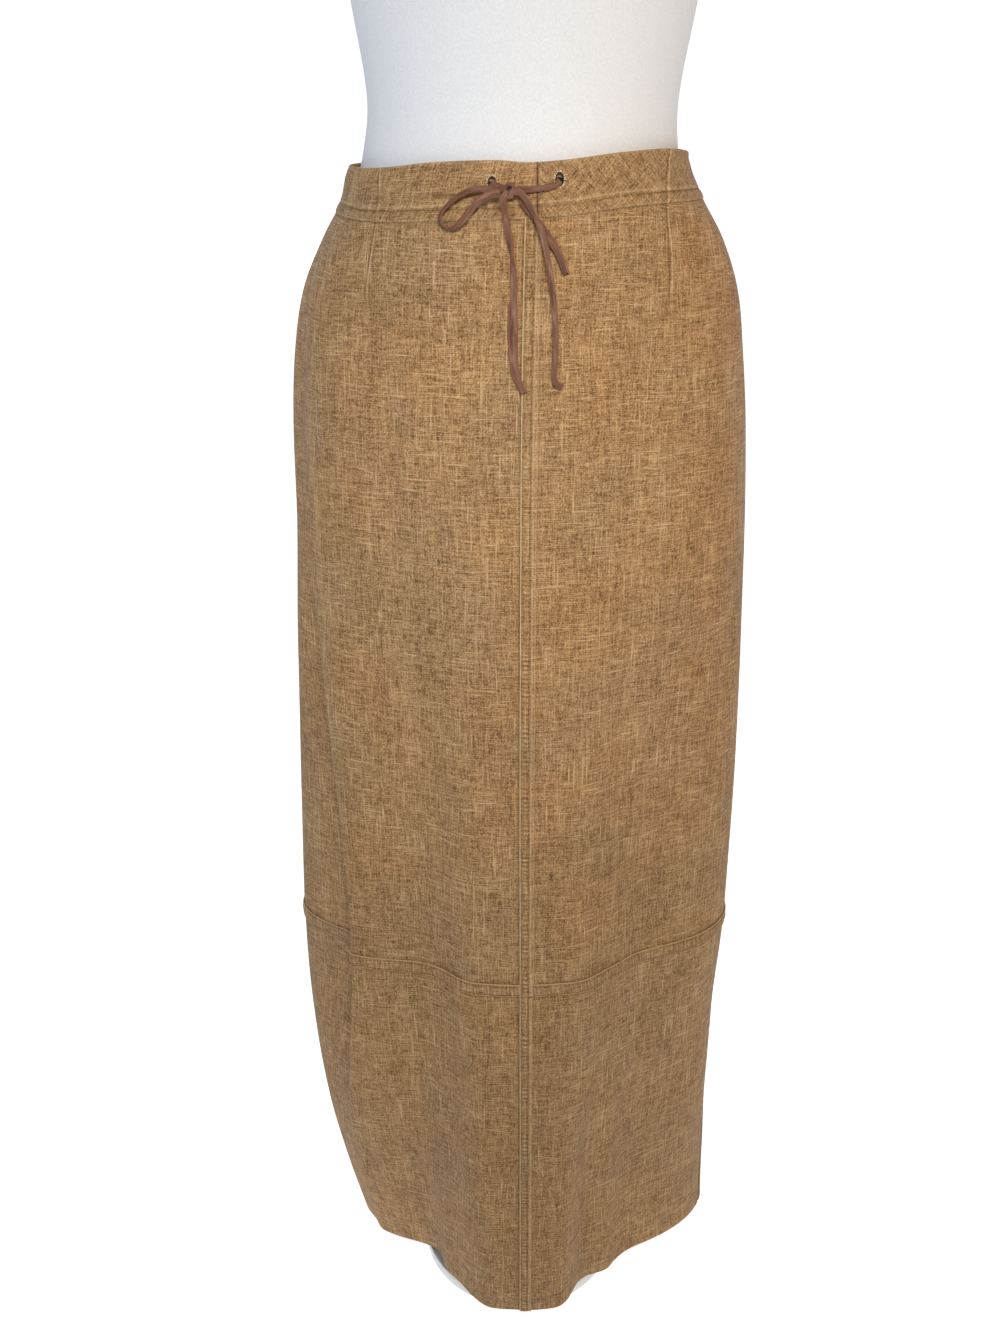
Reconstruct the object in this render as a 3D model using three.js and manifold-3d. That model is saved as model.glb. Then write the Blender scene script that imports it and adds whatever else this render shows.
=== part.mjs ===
// A long tan skirt with a drawstring waist, worn by a limbless dress form on a pole and a round base.
// Millimetres, +Z up, the front faces -Y, and the origin is the middle of the base's underside.
import * as THREE from "three";
import Module from "manifold-3d";
import { mergeVertices } from "three/addons/utils/BufferGeometryUtils.js";

const wasm = await Module();
wasm.setup();

// Heights of the skirt's edges and seams
const HEM = 40;
const YOKE_SEAM = 384;
const WAIST_SEAM = 982;
const WAIST_TOP = 1014;

// Cloth
const WALL = 1.4;
const BAND_WALL = 2.0;
const BAND_PROUD = 0.8;    // the doubled waistband stands proud of the panels
const FELL_WALL = 1.0;
const GAP = 0.3;
const FRONT_STEP = 3;      // degrees between a front panel's columns
const BACK_STEP = 5;

// The worn skirt's outer face: half-widths to the left and right, half-depths to the front and back
const SECTIONS = [
  { z: 1014, left: 124, right: 115, front: 101, back: 88 },
  { z: 1003, left: 128, right: 119, front: 102, back: 90 },
  { z: 987, left: 132.5, right: 128, front: 104, back: 93 },
  { z: 960, left: 148, right: 144, front: 107, back: 99 },
  { z: 925, left: 164, right: 157, front: 110, back: 108 },
  { z: 880, left: 173, right: 164, front: 113, back: 119 },
  { z: 820, left: 178, right: 171, front: 116, back: 126 },
  { z: 740, left: 180, right: 176, front: 119, back: 126 },
  { z: 640, left: 185, right: 179, front: 123, back: 122 },
  { z: 500, left: 190, right: 182, front: 126, back: 120 },
  { z: 385, left: 194, right: 181, front: 128, back: 120 },
  { z: 290, left: 193, right: 177, front: 129, back: 122 },
  { z: 180, left: 182, right: 180, front: 130, back: 124 },
  { z: 110, left: 169, right: 185, front: 130, back: 126 },
  { z: 40, left: 152, right: 189, front: 130, back: 128 },
];

// The dress form's outer face, just inside the waist seam and smooth all over
const FORM_SECTIONS = [
  { z: 1520, left: 50, right: 48, front: 46, back: 50 },
  { z: 1482, left: 52, right: 50, front: 48, back: 52 },
  { z: 1460, left: 60, right: 58, front: 53, back: 57 },
  { z: 1443, left: 84, right: 82, front: 60, back: 66 },
  { z: 1425, left: 118, right: 115, front: 71, back: 77 },
  { z: 1404, left: 144, right: 141, front: 85, back: 87 },
  { z: 1375, left: 155, right: 152, front: 98, back: 94 },
  { z: 1330, left: 155, right: 152, front: 110, back: 98 },
  { z: 1285, left: 149, right: 146, front: 118, back: 98 },
  { z: 1240, left: 141, right: 138, front: 119, back: 96 },
  { z: 1180, left: 130, right: 127, front: 110, back: 90 },
  { z: 1115, left: 121, right: 117, front: 98, back: 84 },
  { z: 1052, left: 112, right: 107, front: 90, back: 79 },
  { z: 1014, left: 117, right: 109, front: 94, back: 82 },
  { z: 1000, left: 122, right: 113, front: 97, back: 85 },
  { z: 987, left: 130.2, right: 125.2, front: 101.9, back: 90.9 },
  { z: 960, left: 144.5, right: 140, front: 103.5, back: 96 },
  { z: 925, left: 159, right: 152, front: 105, back: 104.5 },
  { z: 880, left: 167, right: 158, front: 106.5, back: 115 },
  { z: 820, left: 169, right: 163, front: 106.5, back: 121 },
  { z: 760, left: 165, right: 160, front: 104, back: 117 },
  { z: 724, left: 156, right: 151, front: 97, back: 108 },
  { z: 716, left: 144, right: 139, front: 88, back: 98 },
];

// How far the waistband's top edge and the waist seam run above their heights, by degrees from the front
const WAIST_EDGES = [
  { angle: -180, top: 0, seam: 0 },
  { angle: -90, top: -3.8, seam: -2.5 },
  { angle: -60, top: -4.6, seam: -6.3 },
  { angle: -35, top: -0.5, seam: -4.8 },
  { angle: -12, top: 1, seam: -3 },
  { angle: 0, top: -0.2, seam: -2 },
  { angle: 15, top: 1.5, seam: -0.5 },
  { angle: 35, top: 5.5, seam: 4 },
  { angle: 60, top: 7.5, seam: 6 },
  { angle: 90, top: 4.5, seam: 6 },
  { angle: 180, top: 0, seam: 0 },
];

// Where the centre front seam hangs
const CENTRE_SEAM = [
  { z: 1014, x: 0 },
  { z: 985, x: -1.8 },
  { z: 868, x: -3.6 },
  { z: 640, x: -3.6 },
  { z: 440, x: -2.6 },
  { z: 40, x: -0.3 },
];

// Folds of the worn cloth. Angles are degrees from the front, to the right; depths are how far the
// cloth stands out (or in, below zero) at four heights, and nothing at the waist unless it says so;
// width is half of the fold's spread.
const LEVELS = { hem: 40, seam: 385, hip: 860, waist: 985 };
const FOLDS = [
  {
    name: "left trough", waistAngle: -45, seamAngle: -40, hemAngle: -53,
    width: 24, hemWidth: 34, hip: -1, seam: -19, hem: -43,
  },
  {
    name: "crest edge, left", waistAngle: -26, seamAngle: -26, hemAngle: -27,
    width: 12, hemWidth: 16, hip: 0, seam: -1, hem: -12,
  },
  {
    name: "right trough", waistAngle: 48, seamAngle: 51, hemAngle: 60,
    width: 34, hemWidth: 42, hip: -1.5, seam: -24, hem: -46,
  },
  {
    name: "crest edge, right", waistAngle: 30, seamAngle: 30, hemAngle: 30,
    width: 14, hemWidth: 17, hip: 0, seam: -2, hem: -19,
  },
  {
    name: "crease from the right dart", waistAngle: 48, seamAngle: 30, hemAngle: 30,
    width: 9, hemWidth: 12, hip: -1.6, seam: 0, hem: 0,
  },
  {
    name: "left dart", waistAngle: -57, seamAngle: -44, hemAngle: -44,
    width: 4, hemWidth: 4, waist: -0.9, hip: 0, seam: 0, hem: 0,
  },
  {
    name: "right dart", waistAngle: 54, seamAngle: 30, hemAngle: 30,
    width: 4, hemWidth: 4, waist: -0.9, hip: 0, seam: 0, hem: 0,
  },
  {
    name: "right back trough", waistAngle: 128, seamAngle: 126, hemAngle: 122,
    width: 26, hemWidth: 30, hip: -1, seam: -11, hem: -22,
  },
  {
    name: "left back trough", waistAngle: -128, seamAngle: -130, hemAngle: -127,
    width: 25, hemWidth: 28, hip: -1, seam: -9, hem: -19,
  },
  {
    name: "right back fold", waistAngle: 152, seamAngle: 155, hemAngle: 157,
    width: 16, hemWidth: 18, hip: 0, seam: 4, hem: 8,
  },
  {
    name: "left back fold", waistAngle: -150, seamAngle: -158, hemAngle: -160,
    width: 16, hemWidth: 17, hip: 0, seam: 5, hem: 9,
  },
];

// The deep fold on the left: a crest that hangs from the hip, with a steep step back behind it
const PLEAT = {
  waistAngle: -74, hipAngle: -73, seamAngle: -59, hemAngle: -74,
  steep: 7, waist: 0, hip: 5, seam: 29, hem: 5,
};

// Side vents: how far the cloth's edges part on each side at the hem
const VENT = { left: 9, right: 5 };

// Centre front seam, its felled strip to the right of it, and the join in the waistband
const FELL_WIDTH = 11;
const LOWER_FELL_WIDTH = 10;
const YOKE_FELL_HEIGHT = 11;
const BAND_JOIN_X = 5.5;

// Eyelets in the waistband
const EYELETS = [
  { x: -23.4, z: 1001 },
  { x: 20, z: 1003.5 },
];
const EYELET_WIDTH = 5;
const EYELET_HEIGHT = 8;
const EYELET_CUT = 30;     // as deep as the cut reaches, through the band's front only

// Drawstring: a flat lace. x and z are seen from the front, lift is the distance from the cloth to the
// lace's middle, and roll turns its face in degrees
const LACE_WIDTH = 5;
const LACE_THICKNESS = 1.3;
const LACE_EDGE = 0.8;     // the share of the lace's width that is flat; its edges thin to half from there
const KNOT = { x: -11.5, z: 996.5, lift: 4.4, halfWidth: 5, halfDepth: 3.6, halfHeight: 4.6 };
const LACE_ROUTES = {
  lace_stub_left: [
    { x: -24, z: 1001.8, lift: 1.1, roll: 0 },
    { x: -21.5, z: 999.8, lift: 1.3, roll: 0 },
    { x: -18.4, z: 998.4, lift: 2.0, roll: 0 },
  ],
  lace_stub_right: [
    { x: 20.4, z: 1002.6, lift: 1.1, roll: 0 },
    { x: 17.5, z: 1000.2, lift: 1.3, roll: 0 },
    { x: 12, z: 998.6, lift: 1.6, roll: 0 },
    { x: 4, z: 997.7, lift: 1.9, roll: 0 },
    { x: -4.6, z: 997.4, lift: 3.2, roll: 0 },
  ],
  lace_loop_left: [
    { x: -18.6, z: 997.4, lift: 4.2, roll: 0 },
    { x: -27, z: 997.4, lift: 3.4, roll: 20 },
    { x: -37.3, z: 996.6, lift: 3.6, roll: 45 },
    { x: -46.4, z: 992.7, lift: 4.0, roll: 62 },
    { x: -54.4, z: 986.2, lift: 4.0, roll: 68 },
    { x: -58.2, z: 980.4, lift: 3.8, roll: 68 },
    { x: -57.2, z: 975.6, lift: 3.8, roll: 65 },
    { x: -53.3, z: 973.1, lift: 4.0, roll: 60 },
    { x: -48.2, z: 973.6, lift: 4.4, roll: 48 },
    { x: -43.4, z: 977.6, lift: 5.0, roll: 30 },
    { x: -37.6, z: 985.2, lift: 6.0, roll: 15 },
    { x: -31.4, z: 991.2, lift: 6.8, roll: 0 },
    { x: -24.6, z: 994.3, lift: 7.4, roll: 0 },
    { x: -18.4, z: 995.2, lift: 7.0, roll: 0 },
  ],
  lace_loop_right: [
    { x: -4.6, z: 991.6, lift: 3.2, roll: 0 },
    { x: 0.9, z: 984.4, lift: 3.3, roll: 0 },
    { x: 8.9, z: 974.5, lift: 3.4, roll: 0 },
    { x: 15.9, z: 964.4, lift: 3.0, roll: 0 },
    { x: 20.8, z: 956, lift: 2.6, roll: 0 },
    { x: 25.3, z: 945.7, lift: 2.2, roll: 0 },
  ],
  lace_tail_left: [
    { x: -16.4, z: 990.6, lift: 5.4, roll: 0 },
    { x: -15.4, z: 984.5, lift: 3.4, roll: 0 },
    { x: -13.7, z: 974.5, lift: 2.0, roll: 0 },
    { x: -12.2, z: 965, lift: 1.8, roll: 20 },
    { x: -11, z: 957, lift: 2.6, roll: 75 },
    { x: -10, z: 948.5, lift: 1.9, roll: 30 },
    { x: -9.2, z: 936, lift: 1.3, roll: 0 },
    { x: -9.8, z: 922, lift: 1.2, roll: 0 },
    { x: -9.9, z: 906, lift: 1.2, roll: 0 },
    { x: -9.4, z: 891, lift: 1.3, roll: 0 },
    { x: -7.6, z: 880, lift: 1.9, roll: 0 },
    { x: -2.4, z: 868.3, lift: 2.8, roll: 0 },
  ],
  lace_tail_right: [
    { x: -5, z: 995.4, lift: 6.2, roll: 0 },
    { x: -2.2, z: 992, lift: 7.0, roll: 0 },
    { x: 2.6, z: 985, lift: 7.2, roll: 0 },
    { x: 6.6, z: 977, lift: 6.8, roll: 0 },
    { x: 9.6, z: 968.5, lift: 6.3, roll: 0 },
    { x: 12.2, z: 957.5, lift: 5.4, roll: 0 },
    { x: 14.8, z: 943, lift: 4.0, roll: 0 },
    { x: 16.8, z: 930.5, lift: 2.6, roll: 0 },
    { x: 18.1, z: 917, lift: 1.8, roll: 0 },
    { x: 18.7, z: 903, lift: 1.3, roll: 0 },
    { x: 18.7, z: 890, lift: 1.3, roll: 0 },
    { x: 17.9, z: 879.5, lift: 1.8, roll: 0 },
    { x: 19.2, z: 874, lift: 2.4, roll: 0 },
    { x: 24.2, z: 872.4, lift: 2.8, roll: 0 },
  ],
};
const LACE_STEPS = 2;      // sections from one listed point to the next
const COLLAPSED = 2.2;     // the right loop has fallen flat, so it is this many laces thick

// Stand
const BASE_RADIUS = 92;
const BASE_HEIGHT = 12;
const BASE_BEVEL = 1.5;
const POLE_RADIUS = 12.5;
const CAP_RADIUS = 46;
const CAP_TAPER = 4;
const CAP_HEIGHT = 14;

// Sides of the round pieces
const SIDES = { eyelet: 12, knot: 14, knotRings: 8, cap: 32, pole: 20, base: 48 };

const CLOTH = new THREE.MeshStandardMaterial({ color: 0xa67c4e, roughness: 0.95, metalness: 0 });
const LEATHER = new THREE.MeshStandardMaterial({ color: 0x8a5a45, roughness: 0.7, metalness: 0 });
const JERSEY = new THREE.MeshStandardMaterial({ color: 0xe9ecee, roughness: 0.9, metalness: 0 });
const STEEL = new THREE.MeshStandardMaterial({ color: 0xe4e4e2, roughness: 0.4, metalness: 0.1 });

const rad = THREE.MathUtils.degToRad;
const deg = THREE.MathUtils.radToDeg;

// A smooth curve through one column of a table, read between its rows at a value of the key column
function smoothColumn(table, column, value, key = "z") {
  const rows = table[0][key] < table.at(-1)[key] ? table : [...table].reverse();
  const last = rows.length - 1;
  const at = Math.min(Math.max(value, rows[0][key]), rows[last][key]);
  const i = rows.findIndex((row, k) => k < last && at <= rows[k + 1][key]);
  const slope = (k) => {
    const above = rows[Math.min(k + 1, last)];
    const below = rows[Math.max(k - 1, 0)];
    return (above[column] - below[column]) / (above[key] - below[key]);
  };
  const span = rows[i + 1][key] - rows[i][key];
  const t = (at - rows[i][key]) / span;
  return (2 * t ** 3 - 3 * t ** 2 + 1) * rows[i][column]
    + (t ** 3 - 2 * t ** 2 + t) * span * slope(i)
    + (3 * t ** 2 - 2 * t ** 3) * rows[i + 1][column]
    + (t ** 3 - t ** 2) * span * slope(i + 1);
}

// A quantity given at the four levels, eased from one level to the next
function atLevels(values, z) {
  const heights = [LEVELS.hem, LEVELS.seam, LEVELS.hip, LEVELS.waist];
  for (let i = 0; i < 3; i += 1) {
    if (z <= heights[i + 1]) {
      const t = THREE.MathUtils.smoothstep(z, heights[i], heights[i + 1]);
      return values[i] + (values[i + 1] - values[i]) * t;
    }
  }
  return values[3];
}

// An oval section with its own half-width on each side, at an angle from the front
function ovalRadius(table, angle, z) {
  const side = Math.sin(angle) < 0 ? "left" : "right";
  const face = Math.cos(angle) > 0 ? "front" : "back";
  const across = Math.sin(angle) / smoothColumn(table, side, z);
  const along = Math.cos(angle) / smoothColumn(table, face, z);
  return 1 / Math.hypot(across, along);
}

function foldDepth(fold, degrees, z) {
  const middle = (fold.waistAngle + fold.seamAngle) / 2;
  const centre = atLevels([fold.hemAngle, fold.seamAngle, middle, fold.waistAngle], z);
  const width = atLevels([fold.hemWidth, fold.width, fold.width, fold.width], z);
  const t = Math.abs(degrees - centre) / width;
  if (t >= 1) {
    return 0;
  }
  return atLevels([fold.hem, fold.seam, fold.hip, fold.waist ?? 0], z) * Math.cos(t * Math.PI / 2) ** 2;
}

function pleatDepth(degrees, z) {
  const crest = atLevels([PLEAT.hemAngle, PLEAT.seamAngle, PLEAT.hipAngle, PLEAT.waistAngle], z);
  if (degrees > crest || degrees < -90) {
    return 0;
  }
  const step = THREE.MathUtils.smoothstep(crest - degrees, 0, PLEAT.steep);
  const back = 1 - THREE.MathUtils.smoothstep(crest - degrees, PLEAT.steep, crest + 90);
  return -atLevels([PLEAT.hem, PLEAT.seam, PLEAT.hip, PLEAT.waist], z) * step * back;
}

// An angle as degrees from the front, between -180 and 180
const fromFront = (angle) => deg(Math.atan2(Math.sin(angle), Math.cos(angle)));

// The cloth's outer face, as a radius at an angle (radians from the front) and height
function clothRadius(angle, z) {
  const degrees = fromFront(angle);
  const folds = FOLDS.reduce((sum, fold) => sum + foldDepth(fold, degrees, z), 0);
  return ovalRadius(SECTIONS, angle, z) + folds + pleatDepth(degrees, z);
}

// A point on the cloth, moved out by the given distance along the section's own normal
function clothPoint(angle, z, out) {
  const small = 0.004;
  const at = (a) => {
    const r = clothRadius(a, z);
    return new THREE.Vector2(r * Math.sin(a), -r * Math.cos(a));
  };
  const here = at(angle);
  const along = at(angle + small).sub(at(angle - small)).normalize();
  return new THREE.Vector3(here.x + along.y * out, here.y - along.x * out, z);
}

// The angle whose point on the cloth has this x, on the front
function frontAngle(x, z) {
  let angle = 0;
  for (let i = 0; i < 12; i += 1) {
    angle = Math.asin(x / clothRadius(angle, z));
  }
  return angle;
}

function indexed(points, index) {
  const positions = points.flatMap((p) => [p.x, p.y, p.z]);
  const geometry = new THREE.BufferGeometry();
  geometry.setAttribute("position", new THREE.Float32BufferAttribute(positions, 3));
  geometry.setIndex(index);
  return geometry;
}

// A closed solid between two grids of points that share their rows and columns
function closedGrid(outer, inner) {
  const rows = outer.length;
  const columns = outer[0].length;
  const points = [...outer.flat(), ...inner.flat()];
  const index = [];
  const quad = (a, b, c, d) => index.push(a, b, c, a, c, d);
  const out = (i, j) => i * columns + j;
  const inn = (i, j) => rows * columns + i * columns + j;
  for (let i = 0; i + 1 < rows; i += 1) {
    for (let j = 0; j + 1 < columns; j += 1) {
      quad(out(i, j), out(i, j + 1), out(i + 1, j + 1), out(i + 1, j));
      quad(inn(i, j), inn(i + 1, j), inn(i + 1, j + 1), inn(i, j + 1));
    }
    quad(out(i, 0), out(i + 1, 0), inn(i + 1, 0), inn(i, 0));
    quad(out(i, columns - 1), inn(i, columns - 1), inn(i + 1, columns - 1), out(i + 1, columns - 1));
  }
  for (let j = 0; j + 1 < columns; j += 1) {
    quad(out(0, j), inn(0, j), inn(0, j + 1), out(0, j + 1));
    quad(out(rows - 1, j), out(rows - 1, j + 1), inn(rows - 1, j + 1), inn(rows - 1, j));
  }
  return indexed(points, index);
}

// A stack of closed rings of points, with a flat end at the bottom and at the top
function closedRings(rings) {
  const count = rings[0].length;
  const middle = (ring) => ring.reduce((sum, p) => sum.add(p), new THREE.Vector3()).divideScalar(count);
  const points = [...rings.flat(), middle(rings[0]), middle(rings.at(-1))];
  const bottom = rings.length * count;
  const top = bottom + 1;
  const index = [];
  for (let j = 0; j < count; j += 1) {
    const next = (j + 1) % count;
    for (let i = 0; i + 1 < rings.length; i += 1) {
      const low = i * count;
      const high = low + count;
      index.push(low + j, low + next, high + next, low + j, high + next, high + j);
    }
    const lastRing = (rings.length - 1) * count;
    index.push(bottom, next, j, top, lastRing + j, lastRing + next);
  }
  return indexed(points, index);
}

function spread(from, to, step) {
  const count = Math.max(1, Math.round(Math.abs(to - from) / step));
  return Array.from({ length: count + 1 }, (_, i) => from + (to - from) * i / count);
}

// A piece of cloth through columns, each an angle for a height, and rows, each a height for an angle.
// offset moves its outer face out from the skirt's own face.
function clothPiece({ columns, rows, wall, offset = 0 }) {
  const grid = (out) => rows.map((row) => columns.map((column) => {
    const height = row(column(row(0)));
    return clothPoint(column(height), height, out);
  }));
  return closedGrid(grid(offset), grid(offset - wall));
}

// Even columns from one edge to another, about a step of degrees apart
function columnsBetween(left, right, step) {
  const width = deg(right(YOKE_SEAM) - left(YOKE_SEAM));
  return spread(0, 1, step / width).map((t) => (z) => left(z) + (right(z) - left(z)) * t);
}

// The columns of a panel that lie between two edges of a strip on it, and the edges themselves
function columnsWithin(columns, left, right) {
  const clear = rad(0.5);
  const inside = columns.filter((column) => column(YOKE_SEAM) > left(YOKE_SEAM) + clear
    && column(YOKE_SEAM) < right(YOKE_SEAM) - clear);
  return [left, ...inside, right];
}

// Half of a seam's gap, as an angle at a height
const halfGap = (angle, z) => GAP / 2 / clothRadius(angle, z);

// A panel's edge on a seam at an angle: side is +1 where the panel lies to the right of the seam
const seamEdge = (angle, side) => (z) => angle + side * halfGap(angle, z);

// The centre front seam's angle at a height, and a line some way to the right of it
const centreLine = (x) => (z) => frontAngle(smoothColumn(CENTRE_SEAM, "x", z) + x, z);

// A panel's edge at a side vent, which parts further towards the hem
function ventEdge(angle, side, opening) {
  return (z) => {
    const parted = opening / 2 * THREE.MathUtils.smoothstep(YOKE_SEAM - z, 0, YOKE_SEAM - HEM);
    return angle + side * (GAP / 2 + parted) / clothRadius(angle, z);
  };
}

const level = (z) => () => z;
function waistEdge(height, column) {
  return (angle) => height + smoothColumn(WAIST_EDGES, column, fromFront(angle), "angle");
}
const waistSeam = waistEdge(WAIST_SEAM, "seam");
const waistTop = waistEdge(WAIST_TOP, "top");
const UPPER_HEIGHTS = [430, 490, 560, 640, 710, 770, 820, 860, 895, 925, 945, 962];
const LOWER_HEIGHTS = [80, 130, 185, 240, 295, 345];
const UPPER_ROWS = [YOKE_SEAM + GAP / 2, YOKE_SEAM + YOKE_FELL_HEIGHT, ...UPPER_HEIGHTS].map(level);
const LOWER_ROWS = [HEM, ...LOWER_HEIGHTS, YOKE_SEAM - GAP / 2].map(level);

const skirt = new THREE.Group();
function add(name, geometry, material) {
  const mesh = new THREE.Mesh(geometry, material);
  mesh.name = name;
  skirt.add(mesh);
  return mesh;
}

// Panels, the centre front and back seams at 0 and 180 degrees, the side seams at 90
const SIDE = rad(90);
const QUARTERS = [
  { name: "front_left", from: -SIDE, step: FRONT_STEP, right: centreLine(-GAP / 2), fromVent: VENT.left },
  { name: "front_right", to: SIDE, step: FRONT_STEP, left: centreLine(GAP / 2), toVent: VENT.right },
  { name: "back_right", from: SIDE, to: 2 * SIDE, step: BACK_STEP, fromVent: VENT.right },
  { name: "back_left", from: -2 * SIDE, to: -SIDE, step: BACK_STEP, toVent: VENT.left },
];
for (const quarter of QUARTERS) {
  const { name, from, to, step } = quarter;
  const left = quarter.left ?? seamEdge(from, 1);
  const right = quarter.right ?? seamEdge(to, -1);
  quarter.columns = columnsBetween(left, right, step);
  const upperRows = [...UPPER_ROWS, (angle) => waistSeam(angle) - GAP / 2];
  add(`${name}_upper`, clothPiece({ columns: quarter.columns, rows: upperRows, wall: WALL }), CLOTH);

  const lowerLeft = quarter.fromVent ? ventEdge(from, 1, quarter.fromVent) : left;
  const lowerRight = quarter.toVent ? ventEdge(to, -1, quarter.toVent) : right;
  const lowerColumns = columnsBetween(lowerLeft, lowerRight, step);
  add(`${name}_lower`, clothPiece({ columns: lowerColumns, rows: LOWER_ROWS, wall: WALL }), CLOTH);
}

// A three.js geometry as a solid that can be cut, and back
function toSolid(geometry) {
  const bare = geometry.clone();
  bare.deleteAttribute("normal");
  bare.deleteAttribute("uv");
  const merged = mergeVertices(bare, 1e-4);
  return new wasm.Manifold(new wasm.Mesh({
    numProp: 3,
    vertProperties: new Float32Array(merged.attributes.position.array),
    triVerts: new Uint32Array(merged.index.array),
  }));
}
function toGeometry(solid) {
  const mesh = solid.getMesh();
  const geometry = new THREE.BufferGeometry();
  geometry.setAttribute("position", new THREE.BufferAttribute(new Float32Array(mesh.vertProperties), 3));
  geometry.setIndex(new THREE.BufferAttribute(new Uint32Array(mesh.triVerts), 1));
  return geometry;
}

// An upright oval hole through the front of the waistband
function eyeletCutter(eyelet) {
  const cutter = new THREE.CylinderGeometry(EYELET_WIDTH / 2, EYELET_WIDTH / 2, EYELET_CUT, SIDES.eyelet);
  cutter.scale(1, 1, EYELET_HEIGHT / EYELET_WIDTH);
  const front = -clothRadius(frontAngle(eyelet.x, eyelet.z), eyelet.z);
  cutter.translate(eyelet.x, front, eyelet.z);
  return toSolid(cutter);
}

// Waistband: four lengths of doubled cloth, joined at the sides, the centre back and near the centre front
const bandJoin = frontAngle(BAND_JOIN_X, WAIST_TOP);
const BAND_LENGTHS = [
  { name: "waistband_front_left", from: -SIDE, to: bandJoin, step: FRONT_STEP, eyelet: EYELETS[0] },
  { name: "waistband_front_right", from: bandJoin, to: SIDE, step: FRONT_STEP, eyelet: EYELETS[1] },
  { name: "waistband_back_right", from: SIDE, to: 2 * SIDE, step: BACK_STEP },
  { name: "waistband_back_left", from: -2 * SIDE, to: -SIDE, step: BACK_STEP },
];
for (const { name, from, to, step, eyelet } of BAND_LENGTHS) {
  const rows = [
    (angle) => waistSeam(angle) + GAP / 2,
    (angle) => (waistSeam(angle) + waistTop(angle)) / 2,
    waistTop,
  ];
  const columns = columnsBetween(seamEdge(from, 1), seamEdge(to, -1), step);
  const band = clothPiece({ columns, rows, wall: BAND_WALL, offset: BAND_PROUD });
  add(name, eyelet ? toGeometry(toSolid(band).subtract(eyeletCutter(eyelet))) : band, CLOTH);
}

// Felled seams: strips that lie on the panels, a gap away, stitched down along both edges
const FELL = { wall: FELL_WALL, offset: GAP + FELL_WALL };
add("centre_front_fell_upper", clothPiece({
  columns: columnsBetween(centreLine(0), centreLine(FELL_WIDTH), FRONT_STEP),
  rows: [...UPPER_ROWS, (angle) => waistSeam(angle) - GAP],
  ...FELL,
}), CLOTH);
add("centre_front_fell_lower", clothPiece({
  columns: columnsBetween(centreLine(0), centreLine(LOWER_FELL_WIDTH), FRONT_STEP),
  rows: LOWER_ROWS,
  ...FELL,
}), CLOTH);
const [frontLeft, frontRight, backRight, backLeft] = QUARTERS;
const YOKE_FELLS = [
  { name: "yoke_fell_front_left", panel: frontLeft, left: seamEdge(-SIDE, 1), right: centreLine(-GAP) },
  {
    name: "yoke_fell_front_right", panel: frontRight,
    left: centreLine(FELL_WIDTH + GAP), right: seamEdge(SIDE, -1),
  },
  { name: "yoke_fell_back_right", panel: backRight, left: seamEdge(SIDE, 1), right: seamEdge(2 * SIDE, -1) },
  { name: "yoke_fell_back_left", panel: backLeft, left: seamEdge(-2 * SIDE, 1), right: seamEdge(-SIDE, -1) },
];
for (const { name, panel, left, right } of YOKE_FELLS) {
  const columns = columnsWithin(panel.columns, left, right);
  add(name, clothPiece({ columns, rows: UPPER_ROWS.slice(0, 2), ...FELL }), CLOTH);
}

// A point in front of the cloth, from its place seen from the front and its distance from the cloth
function beforeCloth({ x, z, lift }) {
  const angle = frontAngle(x, z);
  const onBand = BAND_PROUD * THREE.MathUtils.smoothstep(z, WAIST_SEAM - 10, WAIST_SEAM - 2);
  return new THREE.Vector3(x, -clothRadius(angle, z) * Math.cos(angle) - onBand - lift, z);
}

// A flat lace with rounded edges along a route, its face to the front but for its roll
function lace(route, thickness) {
  const curve = new THREE.CatmullRomCurve3(route.map(beforeCloth), false, "centripetal");
  const steps = (route.length - 1) * LACE_STEPS;
  const wide = LACE_WIDTH / 2;
  const flat = LACE_EDGE * wide;
  const half = thickness / 2;
  const edge = half / 2;
  const section = [
    [wide, -edge], [wide, edge], [flat, half], [-flat, half],
    [-wide, edge], [-wide, -edge], [-flat, -half], [flat, -half],
  ];
  const rings = [];
  for (let i = 0; i <= steps; i += 1) {
    const t = i / steps;
    const here = curve.getPoint(t);
    const tangent = curve.getTangent(t);
    const k = Math.min(Math.floor(i / LACE_STEPS), route.length - 2);
    const roll = THREE.MathUtils.lerp(route[k].roll, route[k + 1].roll, i / LACE_STEPS - k);
    const across = new THREE.Vector3(0, -1, 0).cross(tangent).normalize();
    const face = tangent.clone().cross(across).normalize();
    across.applyAxisAngle(tangent, rad(roll));
    face.applyAxisAngle(tangent, rad(roll));
    rings.push(section.map(([u, v]) => here.clone()
      .addScaledVector(across, u).addScaledVector(face, v)));
  }
  return closedRings(rings);
}
for (const [name, route] of Object.entries(LACE_ROUTES)) {
  const thickness = name === "lace_loop_right" ? COLLAPSED * LACE_THICKNESS : LACE_THICKNESS;
  add(name, lace(route, thickness), LEATHER);
}
const knot = new THREE.SphereGeometry(1, SIDES.knot, SIDES.knotRings);
knot.scale(KNOT.halfWidth, KNOT.halfDepth, KNOT.halfHeight);
add("lace_knot", knot, LEATHER).position.copy(beforeCloth(KNOT));

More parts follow.
